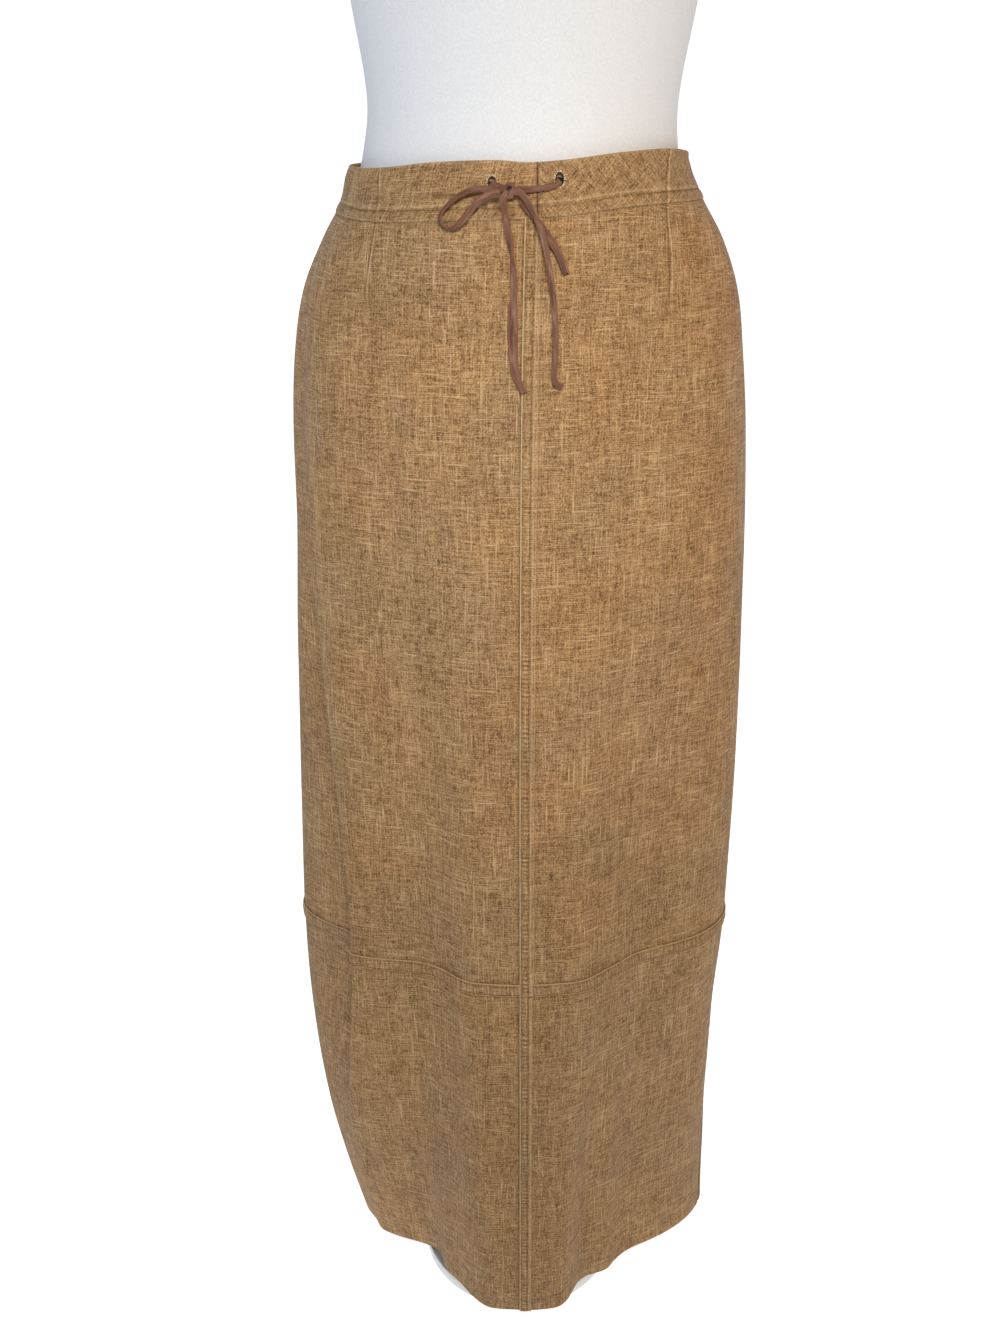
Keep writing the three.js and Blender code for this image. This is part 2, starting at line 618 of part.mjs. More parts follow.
// Dress form: one smooth limbless body, closed under the hips, with a cap on its neck
function formRing(z) {
  return spread(-180, 180, 10).slice(0, -1).map((degrees) => {
    const r = ovalRadius(FORM_SECTIONS, rad(degrees), z);
    return new THREE.Vector3(r * Math.sin(rad(degrees)), -r * Math.cos(rad(degrees)), z);
  });
}
const FORM_TOP = FORM_SECTIONS[0].z;
const FORM_BOTTOM = FORM_SECTIONS.at(-1).z;
const formHeights = FORM_SECTIONS.map((row) => row.z).reverse();
add("form_torso", closedRings(formHeights.map(formRing)), JERSEY);
const cap = new THREE.CylinderGeometry(CAP_RADIUS - CAP_TAPER, CAP_RADIUS, CAP_HEIGHT, SIDES.cap);
cap.rotateX(rad(90));
add("form_neck_cap", cap, STEEL).position.set(0, 0, FORM_TOP + GAP + CAP_HEIGHT / 2);

// Stand: a pole between the body and a heavy round base
const poleLength = FORM_BOTTOM - BASE_HEIGHT - 2 * GAP;
const pole = new THREE.CylinderGeometry(POLE_RADIUS, POLE_RADIUS, poleLength, SIDES.pole);
pole.rotateX(rad(90));
add("form_pole", pole, STEEL).position.set(0, 0, (FORM_BOTTOM + BASE_HEIGHT) / 2);
const base = new THREE.LatheGeometry([
  new THREE.Vector2(0, 0),
  new THREE.Vector2(BASE_RADIUS, 0),
  new THREE.Vector2(BASE_RADIUS, BASE_HEIGHT - BASE_BEVEL),
  new THREE.Vector2(BASE_RADIUS - BASE_BEVEL, BASE_HEIGHT),
  new THREE.Vector2(0, BASE_HEIGHT),
], SIDES.base);
base.rotateX(rad(90));
add("form_base", base, STEEL);

export default skirt;
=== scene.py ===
# %% [markdown]
# A long tan skirt on a dress form, dressed around its imported solids.
# The skirt is woven cloth cut in panels, sewn with felled seams and gathered by a suede lace at the waist.
# The form that wears it is a limbless padded body in white jersey, on a pole and a round base.
# The solids hold the true shape already, so each piece here is a finer skin on the same formula,
# and the finish of cloth, suede, jersey and paint is what this script adds.

# %% Load the frame
import math

import bpy
import numpy as np
from mathutils import Matrix, Vector


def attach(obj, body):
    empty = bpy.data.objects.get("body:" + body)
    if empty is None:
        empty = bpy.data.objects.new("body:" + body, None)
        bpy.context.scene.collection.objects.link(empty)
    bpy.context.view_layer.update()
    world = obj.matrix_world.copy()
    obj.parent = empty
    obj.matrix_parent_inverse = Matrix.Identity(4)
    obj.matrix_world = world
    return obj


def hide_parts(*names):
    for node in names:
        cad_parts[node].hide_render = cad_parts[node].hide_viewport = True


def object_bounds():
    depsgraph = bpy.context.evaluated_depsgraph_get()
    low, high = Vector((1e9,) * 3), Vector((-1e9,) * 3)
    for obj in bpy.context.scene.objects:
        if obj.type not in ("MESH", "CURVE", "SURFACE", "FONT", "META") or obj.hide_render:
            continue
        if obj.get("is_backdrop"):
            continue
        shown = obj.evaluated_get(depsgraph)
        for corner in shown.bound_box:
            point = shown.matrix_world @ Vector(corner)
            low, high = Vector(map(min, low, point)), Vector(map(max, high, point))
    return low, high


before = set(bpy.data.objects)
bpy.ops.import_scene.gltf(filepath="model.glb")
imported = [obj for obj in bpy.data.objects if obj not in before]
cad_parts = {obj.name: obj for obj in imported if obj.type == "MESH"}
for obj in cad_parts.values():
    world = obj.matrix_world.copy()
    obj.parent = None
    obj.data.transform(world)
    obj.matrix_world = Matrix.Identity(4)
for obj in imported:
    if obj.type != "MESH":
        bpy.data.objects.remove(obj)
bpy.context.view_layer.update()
MM = 0.001
bpy.ops.object.select_all(action="DESELECT")
print("CAD nodes:", len(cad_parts))

# %% [markdown]
# The camera stands where the phone was: a metre in front of the form's middle, a little above the waist
# and tilted down, which is why the hem looks narrower than the hips. A normal lens at that place
# gives the same narrowing, and no shift is needed.

# %% Camera
PICTURE = (1000, 1330)
FOCAL_PIXELS = 1300
SENSOR = 36
CAMERA_PLACE = (-18.5, -1000, 1033.4)
CAMERA_TILT = 22.4
bpy.ops.object.camera_add(
    location=[v * MM for v in CAMERA_PLACE],
    rotation=(math.radians(90 - CAMERA_TILT), 0, 0),
)
camera = bpy.context.object
camera.name = "camera"
camera.data.sensor_width = SENSOR
camera.data.lens = SENSOR * FOCAL_PIXELS / PICTURE[1]
camera.data.clip_start = 0.05
camera.data.clip_end = 50
bpy.context.scene.camera = camera
print("lens", round(camera.data.lens, 2), "mm")

# %% [markdown]
# The shape of the worn cloth is one formula, in millimetres: an oval section at each height, with folds
# added to its radius. The tables are the same as those of the solids, so that every piece that is made
# from them lies in its solid's place; only the right vent is drawn nearer to shut than in its solid.
# Modelling the cloth by hand would lose that, and a simulation would move the folds from where they hang.

# %% Sizes and sections
HEM = 40
YOKE_SEAM = 384
WAIST_SEAM = 982
WAIST_TOP = 1014
WALL = 1.4
BAND_WALL = 2.0
BAND_PROUD = 0.8
FELL_WALL = 1.0
GAP = 0.3


def table(names, *rows):
    """Rows of numbers as named columns."""
    return dict(zip(names.split(), np.array(rows, float).T, strict=True))


def listed(names, *rows):
    """Rows of numbers, each with its values by name."""
    return [dict(zip(names.split(), map(float, row), strict=True)) for row in rows]


SECTIONS = table(
    "z left right front back",
    (40, 152, 189, 130, 128),
    (110, 169, 185, 130, 126),
    (180, 182, 180, 130, 124),
    (290, 193, 177, 129, 122),
    (385, 194, 181, 128, 120),
    (500, 190, 182, 126, 120),
    (640, 185, 179, 123, 122),
    (740, 180, 176, 119, 126),
    (820, 178, 171, 116, 126),
    (880, 173, 164, 113, 119),
    (925, 164, 157, 110, 108),
    (960, 148, 144, 107, 99),
    (987, 132.5, 128, 104, 93),
    (1003, 128, 119, 102, 90),
    (1014, 124, 115, 101, 88),
)
WAIST_EDGES = table(
    "angle top seam",
    (-180, 0, 0),
    (-90, -3.8, -2.5),
    (-60, -4.6, -6.3),
    (-35, -0.5, -4.8),
    (-12, 1, -3),
    (0, -0.2, -2),
    (15, 1.5, -0.5),
    (35, 5.5, 4),
    (60, 7.5, 6),
    (90, 4.5, 6),
    (180, 0, 0),
)
CENTRE_SEAM = table(
    "z x",
    (40, -0.3),
    (440, -2.6),
    (640, -3.6),
    (868, -3.6),
    (985, -1.8),
    (1014, 0),
)

# %% Folds of the worn cloth, by degrees from the front and how far they stand out at each level
LEVELS = (40, 385, 860, 985)
FOLDS = listed(
    "waist_angle seam_angle hem_angle width hem_width waist hip seam hem",
    (-45, -40, -53, 24, 34, 0, -1, -19, -43),  # left trough
    (-26, -26, -27, 12, 16, 0, 0, -1, -12),  # crest edge, left
    (48, 51, 60, 34, 42, 0, -1.5, -24, -46),  # right trough
    (30, 30, 30, 14, 17, 0, 0, -2, -19),  # crest edge, right
    (48, 30, 30, 9, 12, 0, -1.6, 0, 0),  # crease from the right dart
    (-57, -44, -44, 4, 4, -0.9, 0, 0, 0),  # left dart
    (54, 30, 30, 4, 4, -0.9, 0, 0, 0),  # right dart
    (128, 126, 122, 26, 30, 0, -1, -11, -22),  # right back trough
    (-128, -130, -127, 25, 28, 0, -1, -9, -19),  # left back trough
    (152, 155, 157, 16, 18, 0, 0, 4, 8),  # right back fold
    (-150, -158, -160, 16, 17, 0, 0, 5, 9),  # left back fold
)
PLEAT = {"crest": (-74, -59, -73, -74), "depth": (5, 29, 5, 0), "steep": 7, "edge": -90}
VENT = {"left": 9, "right": 2}


# %% The formula
def smooth_step(value, low, high):
    """0 below low, 1 above high and an eased rise between them."""
    t = np.clip((value - low) / (high - low), 0, 1)
    return t * t * (3 - 2 * t)


def smooth_column(rows, column, value, key="z"):
    """A smooth curve through one column of a table, read at values of the key column."""
    keys = rows[key]
    held = rows[column]
    last = len(keys) - 1
    below = np.maximum(np.arange(len(keys)) - 1, 0)
    above = np.minimum(np.arange(len(keys)) + 1, last)
    slope = (held[above] - held[below]) / (keys[above] - keys[below])
    at = np.clip(value, keys[0], keys[-1])
    i = np.clip(np.searchsorted(keys, at) - 1, 0, last - 1)
    span = keys[i + 1] - keys[i]
    t = (at - keys[i]) / span
    start = (2 * t**3 - 3 * t**2 + 1) * held[i] + (t**3 - 2 * t**2 + t) * span * slope[i]
    end = (3 * t**2 - 2 * t**3) * held[i + 1] + (t**3 - t**2) * span * slope[i + 1]
    return start + end


def at_levels(values, z):
    """A quantity given at hem, yoke seam, hip and waist, eased between them."""
    result = np.full(np.shape(z), float(values[0]))
    for i in range(3):
        eased = smooth_step(z, LEVELS[i], LEVELS[i + 1])
        result = result + (values[i + 1] - values[i]) * eased
    return result


def oval_radius(rows, angle, z):
    """The radius of an oval section whose four half widths come from a table."""
    side = np.where(np.sin(angle) < 0, smooth_column(rows, "left", z), smooth_column(rows, "right", z))
    face = np.where(np.cos(angle) > 0, smooth_column(rows, "front", z), smooth_column(rows, "back", z))
    return 1 / np.hypot(np.sin(angle) / side, np.cos(angle) / face)


def fold_depth(fold, degrees, z):
    """How far one fold stands out at a place; its angle, width and depth change from hem to waist."""
    hip_angle = (fold["waist_angle"] + fold["seam_angle"]) / 2
    angles = (fold["hem_angle"], fold["seam_angle"], hip_angle, fold["waist_angle"])
    width = at_levels((fold["hem_width"], fold["width"], fold["width"], fold["width"]), z)
    depth = at_levels((fold["hem"], fold["seam"], fold["hip"], fold["waist"]), z)
    t = np.clip(np.abs(degrees - at_levels(angles, z)) / width, 0, 1)
    return depth * np.cos(t * math.pi / 2) ** 2


def pleat_depth(degrees, z):
    """The deep fold on the left: a steep step behind its crest that eases back towards the side."""
    crest = at_levels(PLEAT["crest"], z)
    behind = crest - degrees
    step = smooth_step(behind, 0, PLEAT["steep"])
    back = 1 - smooth_step(behind, PLEAT["steep"], crest - PLEAT["edge"])
    inside = (degrees <= crest) & (degrees >= PLEAT["edge"])
    return np.where(inside, -at_levels(PLEAT["depth"], z) * step * back, 0)


# %% [markdown]
# Worn linen is never quite smooth. Besides the large folds it has soft drag lines under the darts and
# at the hips, creases from sitting and from the drawer, and a slow waviness all over.
# They are listed here, each as a soft trough or ridge along a line between two points of the cloth.

# %% Creases
CREASES = listed(
    "top_angle top low_angle low half_width depth",
    (-54, 912, -58, 800, 5, -1.1),  # below the left dart
    (-47, 905, -40, 690, 6, -0.8),
    (-20, 960, -24, 800, 7, -0.7),
    (46.6, 905, 36.5, 770, 4.5, -1.0),  # below the right dart
    (62, 960, 70, 800, 7, 0.8),
    (22, 940, 18, 760, 6, -0.5),
    (-33, 640, -29, 400, 6, -0.9),
    (12, 560, 17, 400, 6, 0.6),
    (36, 620, 42, 420, 7, -1.0),
    (-14, 330, -11, 80, 6, 0.9),
    (20, 340, 15, 90, 6, -0.9),
    (-33, 330, -37, 120, 5, 1.2),
    (60, 700, 66, 430, 8, 1.1),
    (-62, 700, -58, 470, 5, 1.0),
    (78, 900, 84, 640, 8, -0.9),
    (104, 940, 112, 700, 8, 1.0),
    (-110, 930, -116, 690, 9, -1.1),
    (140, 950, 134, 760, 8, -1.0),
    (-144, 960, -139, 700, 7, 0.9),
    (170, 800, 166, 500, 8, -1.0),
    (-168, 820, -172, 520, 8, 1.0),
    (116, 560, 108, 260, 9, 1.5),
    (-106, 600, -112, 240, 9, 1.5),
    (146, 330, 142, 90, 8, -1.6),
    (-146, 340, -149, 90, 8, 1.6),
    (176, 320, 179, 80, 8, 1.4),
)
WAVES = listed(
    "turns rise size phase",
    (7, 0.9, 0.30, 0.4),
    (11, -1.7, 0.24, 2.1),
    (17, 2.6, 0.18, 4.0),
    (23, -3.9, 0.13, 1.2),
)


def crease_depth(degrees, z):
    """All the creases together; each is deepest halfway along and across."""
    total = np.zeros(np.shape(degrees))
    for crease in CREASES:
        along = (crease["top"] - z) / (crease["top"] - crease["low"])
        middle = crease["top_angle"] + (crease["low_angle"] - crease["top_angle"]) * along
        across = np.clip(np.abs(degrees - middle) / crease["half_width"], 0, 1)
        length = np.sin(np.clip(along, 0, 1) * math.pi) ** 0.7
        total = total + crease["depth"] * length * np.cos(across * math.pi / 2) ** 2
    return total


def waviness(degrees, z):
    """A slow unevenness, which fades where the cloth lies on the form at the waist."""
    total = np.zeros(np.shape(degrees))
    for wave in WAVES:
        turn = wave["turns"] * np.radians(degrees)
        rise = wave["rise"] * z / 100
        total = total + wave["size"] * np.sin(turn + rise + wave["phase"])
    return total * (1 - smooth_step(z, 900, 965))


def signed_degrees(angle):
    """Degrees from the front, from -180 to 180 and negative on the left."""
    return np.degrees(np.arctan2(np.sin(angle), np.cos(angle)))


def cloth_radius(angle, z):
    """The cloth's distance from the pole at an angle and a height: the oval with all that is added to it."""
    degrees = signed_degrees(angle)
    radius = oval_radius(SECTIONS, angle, z) + pleat_depth(degrees, z)
    for fold in FOLDS:
        radius = radius + fold_depth(fold, degrees, z)
    return radius + crease_depth(degrees, z) + waviness(degrees, z)


def cloth_point(angle, z, out):
    """Points on the cloth, moved out along the section's own normal, in metres."""
    small = 0.004  # radians to each side, for the section's direction

    def at(a):
        radius = cloth_radius(a, z)
        return np.stack([radius * np.sin(a), -radius * np.cos(a)])

    along = at(angle + small) - at(angle - small)
    along = along / np.hypot(along[0], along[1])
    x, y = at(angle)
    return np.stack([x + along[1] * out, y - along[0] * out, z + 0 * x], -1) * MM


def front_angle(x, z):
    """The angle at which the cloth lies x to the right of the middle, found by repeating."""
    angle = np.zeros(np.broadcast(x, z).shape)
    for _ in range(12):
        angle = np.arcsin(x / cloth_radius(angle, z))
    return angle


print("hip radius at the front", round(float(cloth_radius(0.0, 860.0)), 1), "mm")

# %% [markdown]
# Edges of the pieces are angles for a height, or heights for an angle. The centre front seam hangs a
# little out of the middle, so its angles are worked out once for every few millimetres of height.

# %% Edges of the pieces
SIDE = math.pi / 2
HEIGHTS = np.arange(HEM - 4, WAIST_TOP + 12, 4.0)


def centre_line(x):
    """The angle of a line that runs x to the right of the centre front seam."""
    angles = front_angle(smooth_column(CENTRE_SEAM, "x", HEIGHTS) + x, HEIGHTS)
    return lambda z: np.interp(z, HEIGHTS, angles)


def seam_edge(angle, side):
    """A panel's edge on a seam: side is +1 where the panel lies to the right of it."""
    radii = cloth_radius(np.full(HEIGHTS.shape, angle), HEIGHTS)
    return lambda z: angle + side * GAP / 2 / np.interp(z, HEIGHTS, radii)


def vent_edge(angle, side, opening):
    """A panel's edge at a side vent, which parts further towards the hem."""
    radii = cloth_radius(np.full(HEIGHTS.shape, angle), HEIGHTS)
    parted = opening / 2 * smooth_step(YOKE_SEAM - HEIGHTS, 0, YOKE_SEAM - HEM)
    angles = angle + side * (GAP / 2 + parted) / radii
    return lambda z: np.interp(z, HEIGHTS, angles)


def waist_edge(height, column, lower=0.0):
    """An edge at the waist, which dips and rises round the body as the table says."""

    def edge(angle):
        return height - lower + smooth_column(WAIST_EDGES, column, signed_degrees(angle), "angle")

    return edge


def level(z):
    return lambda angle: np.full(np.shape(angle), float(z))


# %% [markdown]
# The lace comes first, because its length and its way decide the rest of the front. It is one flat strip
# of suede that goes through the waistband's casing, comes out of two worked eyelets and is tied in a bow
# whose right loop has fallen flat. A flat strip is easiest as a section that is carried along a route,
# turned by its roll at each point. The routes are the same as those of the solids.

# %% The lace's routes: x and z from the front, lift from the cloth, roll in degrees
LACE_WIDTH = 5
LACE_THICKNESS = 1.1
LACE_SIDES = 16
LACE_SOFTNESS = 0.2
LACE_CUPPED = 0.22
LACE_STUB_LEFT = [
    (-24, 1001.8, 1.1, 0),
    (-21.5, 999.8, 1.3, 0),
    (-18.4, 998.4, 2.0, 0),
]
LACE_STUB_RIGHT = [
    (20.4, 1002.6, 1.1, 0),
    (17.5, 1000.2, 1.3, 0),
    (12, 998.6, 1.6, 0),
    (4, 997.7, 1.9, 0),
    (-4.6, 997.4, 3.2, 0),
]
LACE_LOOP_LEFT = [
    (-18.6, 997.4, 4.2, 0),
    (-27, 997.4, 3.4, 20),
    (-37.3, 996.6, 3.6, 45),
    (-46.4, 992.7, 4.0, 62),
    (-54.4, 986.2, 4.0, 68),
    (-58.2, 980.4, 3.8, 68),
    (-57.2, 975.6, 3.8, 65),
    (-53.3, 973.1, 4.0, 60),
    (-48.2, 973.6, 4.4, 48),
    (-43.4, 977.6, 5.0, 30),
    (-37.6, 985.2, 6.0, 15),
    (-31.4, 991.2, 6.8, 0),
    (-24.6, 994.3, 7.4, 0),
    (-18.4, 995.2, 7.0, 0),
]
LACE_LOOP_RIGHT = [
    (-4.6, 991.6, 3.2, 0),
    (0.9, 984.4, 3.3, 0),
    (8.9, 974.5, 3.4, 0),
    (15.9, 964.4, 3.0, 0),
    (20.8, 956, 2.6, 0),
    (25.3, 945.7, 2.2, 0),
]
LACE_TAIL_LEFT = [
    (-16.4, 990.6, 5.4, 0),
    (-15.4, 984.5, 3.4, 0),
    (-13.7, 974.5, 2.0, 0),
    (-12.2, 965, 1.8, 20),
    (-11, 957, 2.6, 75),
    (-10, 948.5, 1.9, 30),
    (-9.2, 936, 1.3, 0),
    (-9.8, 922, 1.2, 0),
    (-9.9, 906, 1.2, 0),
    (-9.4, 891, 1.3, 0),
    (-7.6, 880, 1.9, 0),
    (-2.4, 868.3, 2.8, 0),
]
LACE_TAIL_RIGHT = [
    (-5, 995.4, 6.2, 0),
    (-2.2, 992, 7.0, 0),
    (2.6, 985, 7.2, 0),
    (6.6, 977, 6.8, 0),
    (9.6, 968.5, 6.3, 0),
    (12.2, 957.5, 5.4, 0),
    (14.8, 943, 4.0, 0),
    (16.8, 930.5, 2.6, 0),
    (18.1, 917, 1.8, 0),
    (18.7, 903, 1.3, 0),
    (18.7, 890, 1.3, 0),
    (18.0, 880.5, 1.8, 0),
    (19.4, 874.6, 2.4, 0),
    (23.9, 872.2, 2.8, 0),
]
IN_KNOT_LEFT = [(-14, 997.2, 3.4, 0), (-14.4, 995, 5.4, 0)]
IN_KNOT_RIGHT = [(-10, 997, 4.4, 0), (-8.5, 996.4, 5.6, 0)]
print("lace points:", sum(map(len, (LACE_STUB_LEFT, LACE_LOOP_LEFT, LACE_TAIL_LEFT))))


# %% From a route to a strip
def before_cloth(x, z, lift):
    """A point in front of the cloth, from its place seen from the front, in metres."""
    angle = front_angle(x, z)
    front = -cloth_radius(angle, z) * np.cos(angle)
    on_band = BAND_PROUD * smooth_step(z, WAIST_SEAM - 10, WAIST_SEAM - 2)
    return Vector((x, front - on_band - lift, z)) * MM


def through(points, steps):
    """A smooth line through all the points, with steps from each to the next."""
    line = []
    ends = [2 * points[0] - points[1], *points, 2 * points[-1] - points[-2]]
    for a, b, c, d in zip(ends, ends[1:], ends[2:], ends[3:]):
        for k in range(steps):
            t = k / steps
            line.append(
                0.5 * (2 * b + (c - a) * t + (2 * a - 5 * b + 4 * c - d) * t**2
                       + (3 * b - a - 3 * c + d) * t**3)
            )
    line.append(points[-1].copy())
    return line


def new_mesh(name, points, faces, uv=None):
    """A mesh object at the origin, smooth, with an optional uv for each point."""
    mesh = bpy.data.meshes.new(name)
    mesh.from_pydata(points, [], faces)
    mesh.update()
    mesh.shade_smooth()
    if uv is not None:
        corner_points = np.zeros(len(mesh.loops), np.int32)
        mesh.loops.foreach_get("vertex_index", corner_points)
        layer = mesh.uv_layers.new(name="cloth_mm")
        layer.data.foreach_set("uv", np.asarray(uv, np.float32)[corner_points].ravel())
    made = bpy.data.objects.new(name, mesh)
    bpy.context.scene.collection.objects.link(made)
    return made


def strip(name, route, thickness, steps=8, width=LACE_WIDTH, side=None, wider=None):
    """A flat strip with soft edges along a route. Returns the piece and its middle line.

    Where a strip changes its width, wider holds the numbers of points and the width's share at each.
    """
    points = [before_cloth(x, z, lift) for x, z, lift, _ in route]
    line = through(points, steps)
    rolls = np.interp(np.arange(len(line)) / steps, range(len(route)), [r[3] for r in route])
    sides = LACE_SIDES
    turn = np.linspace(0, 2 * math.pi, sides, endpoint=False)
    flat = np.sign(np.cos(turn)) * np.abs(np.cos(turn)) ** LACE_SOFTNESS * width / 2
    deep = np.sign(np.sin(turn)) * np.abs(np.sin(turn)) ** LACE_SOFTNESS * thickness / 2
    rings = []
    uv = []
    length = 0.0
    for i, here in enumerate(line):
        before = line[max(i - 1, 0)]
        after = line[min(i + 1, len(line) - 1)]
        length += (here - before).length / MM
        tangent = (after - before).normalized()
        across = side or Vector((0, -1, 0)).cross(tangent).normalized()
        face = tangent.cross(across).normalized()
        turned = Matrix.Rotation(math.radians(rolls[i]), 3, tangent)
        across, face = turned @ across, turned @ face
        uneven = 0.93 + 0.07 * math.sin(length / 7.3) * math.sin(length / 3.1)
        if wider:
            uneven *= np.interp(i / steps, wider[0], wider[1])
        cupped = LACE_CUPPED * math.sin(length / 11)
        for a, b in zip(flat, deep):
            bend = cupped * (2 * a / width) ** 2
            rings.append(here + (across * a * uneven + face * (b + bend)) * MM)
            uv.append((a, length))
    faces = []
    for i in range(len(line) - 1):
        for j in range(sides):
            k = (j + 1) % sides
            faces.append((i * sides + j, i * sides + k, (i + 1) * sides + k, (i + 1) * sides + j))
    faces.append(tuple(reversed(range(sides))))
    faces.append(tuple(range((len(line) - 1) * sides, len(line) * sides)))
    made = new_mesh(name, rings, faces, uv)
    bpy.context.view_layer.objects.active = made
    made.select_set(True)
    bpy.ops.object.shade_smooth_by_angle(angle=math.radians(35))
    made.select_set(False)
    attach(made, "root")
    return made, line


def line_length(line):
    return sum((b - a).length for a, b in zip(line, line[1:]))


# %% The lace's four stretches
ROUTE_LEFT = LACE_STUB_LEFT + IN_KNOT_LEFT + LACE_TAIL_LEFT
ROUTE_RIGHT = LACE_STUB_RIGHT + IN_KNOT_RIGHT + LACE_TAIL_RIGHT
LEFT_WIDER = ((8, 10, 11, 12, 13, 14, 15, 16), (1.0, 0.9, 1.0, 1.3, 1.45, 1.4, 1.1, 0.9))
lace_left, left_line = strip("drawstring_left_end", ROUTE_LEFT, LACE_THICKNESS, wider=LEFT_WIDER)
lace_right, right_line = strip("drawstring_right_end", ROUTE_RIGHT, LACE_THICKNESS, width=0.88 * LACE_WIDTH)
loop_left, loop_line = strip("drawstring_open_loop", LACE_LOOP_LEFT, LACE_THICKNESS)
loop_right, fallen_line = strip("drawstring_fallen_loop", LACE_LOOP_RIGHT, 2.2 * LACE_THICKNESS)
lace_lines = {lace_left: left_line, lace_right: right_line, loop_left: loop_line, loop_right: fallen_line}
for piece, line in lace_lines.items():
    print(piece.name, round(line_length(line), 4), "m")

# %% [markdown]
# The knot is the lace wrapped once round its own strands, so it is a short strip too: up in front, over
# the top, down behind and out below. It hides its two ends at the back, and a second turn crosses it.

# %% Knot
WRAP = [
    (-11.4, 994.2, 2.2, 0),
    (-11.2, 997.6, 1.6, 0),
    (-11, 1000.4, 2.6, 0),
    (-10.8, 1001, 4.0, 0),
    (-10.7, 998.8, 5.2, 0),
    (-10.9, 995.8, 5.4, 0),
    (-11.3, 993, 4.6, 0),
    (-11.5, 992.2, 3.6, 0),
    (-11.4, 994.4, 2.0, 0),
]
CROSS_TURN = [
    (-14.6, 999.6, 2.6, 0),
    (-13.2, 1000.4, 3.8, 0),
    (-11.2, 998.9, 5.6, 0),
    (-9, 996, 5.6, 0),
    (-7.0, 994.6, 4.6, 0),
    (-6.2, 994.0, 3.0, 0),
]
wrap, _ = strip("lace_knot_wrap", WRAP, LACE_THICKNESS, width=0.84 * LACE_WIDTH, side=Vector((1, 0, 0)))
cross_side = Vector((0.64, 0, 0.77))
cross, _ = strip("lace_knot_cross", CROSS_TURN, LACE_THICKNESS, width=0.6 * LACE_WIDTH, side=cross_side)
bpy.ops.object.select_all(action="DESELECT")
wrap.select_set(True)
cross.select_set(True)
bpy.context.view_layer.objects.active = wrap
bpy.ops.object.join()
knot = wrap
knot.name = "drawstring_knot"
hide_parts("lace_knot")
print(knot.name, len(knot.data.polygons), "faces")

# %% [markdown]
# A piece of cloth is a closed skin between an outer and an inner grid of points. Its rows and columns crowd
# together at the borders, where both grids run into the middle of the cloth along a quarter circle: that
# gives each panel the soft turned edge that sewing gives it, and the seams get their shadow. Its UV map is
# in millimetres along the cloth, so that threads run true in every piece. A second value at each point
# paints ridges and folded edges paler above 0, partly as wear and partly as painted highlight, and paints
# seams, stitching and grooves darker below 0, as painted shade.

# %% The cloth builder
FINE_STEP = 0.55
# The value at a folded edge, painted paler for wear and as painted highlight, and in a seam, painted
# darker as painted shade, and the millimetres over which each fades
EDGE_FOLD_RUB_AND_HIGHLIGHT = 0.65
FOLD_FADES = 1.2
SEAM_SHADE = -0.9
SEAM_FADES = 1.1
# The waistband's top edge is no seam, so it counts as this much further in
BAND_TOP_FREE = 9
MIDDLE_HEIGHT = 700.0


def crowded(length, step, edge, fine=None):
    """Shares from 0 to 1, crowded in the rounded edge at both ends and in a fine stretch of shares."""
    near = edge * np.array([0, 0.12, 0.45])
    count = max(2, round((length - 2 * edge) / step))
    middle = np.linspace(edge, length - edge, count + 1)
    if fine:
        low, high = np.array(fine) * length
        outside = middle[(middle < low - FINE_STEP) | (middle > high + FINE_STEP)]
        middle = np.sort(np.concatenate([outside, np.arange(low, high, FINE_STEP)]))
    return np.concatenate([near, middle, length - near[::-1]]) / length


def cloth_grid(left, right, bottom, top, across, up):
    """Angles and heights of a grid between two edges (angles for a height) and two levels."""
    s, t = np.meshgrid(across, up)
    middle = np.full(s.shape, MIDDLE_HEIGHT)
    angle = (left(middle) + right(middle)) / 2
    for _ in range(3):
        z = bottom(angle) + (top(angle) - bottom(angle)) * t
        angle = left(z) + (right(z) - left(z)) * s
    return angle, z


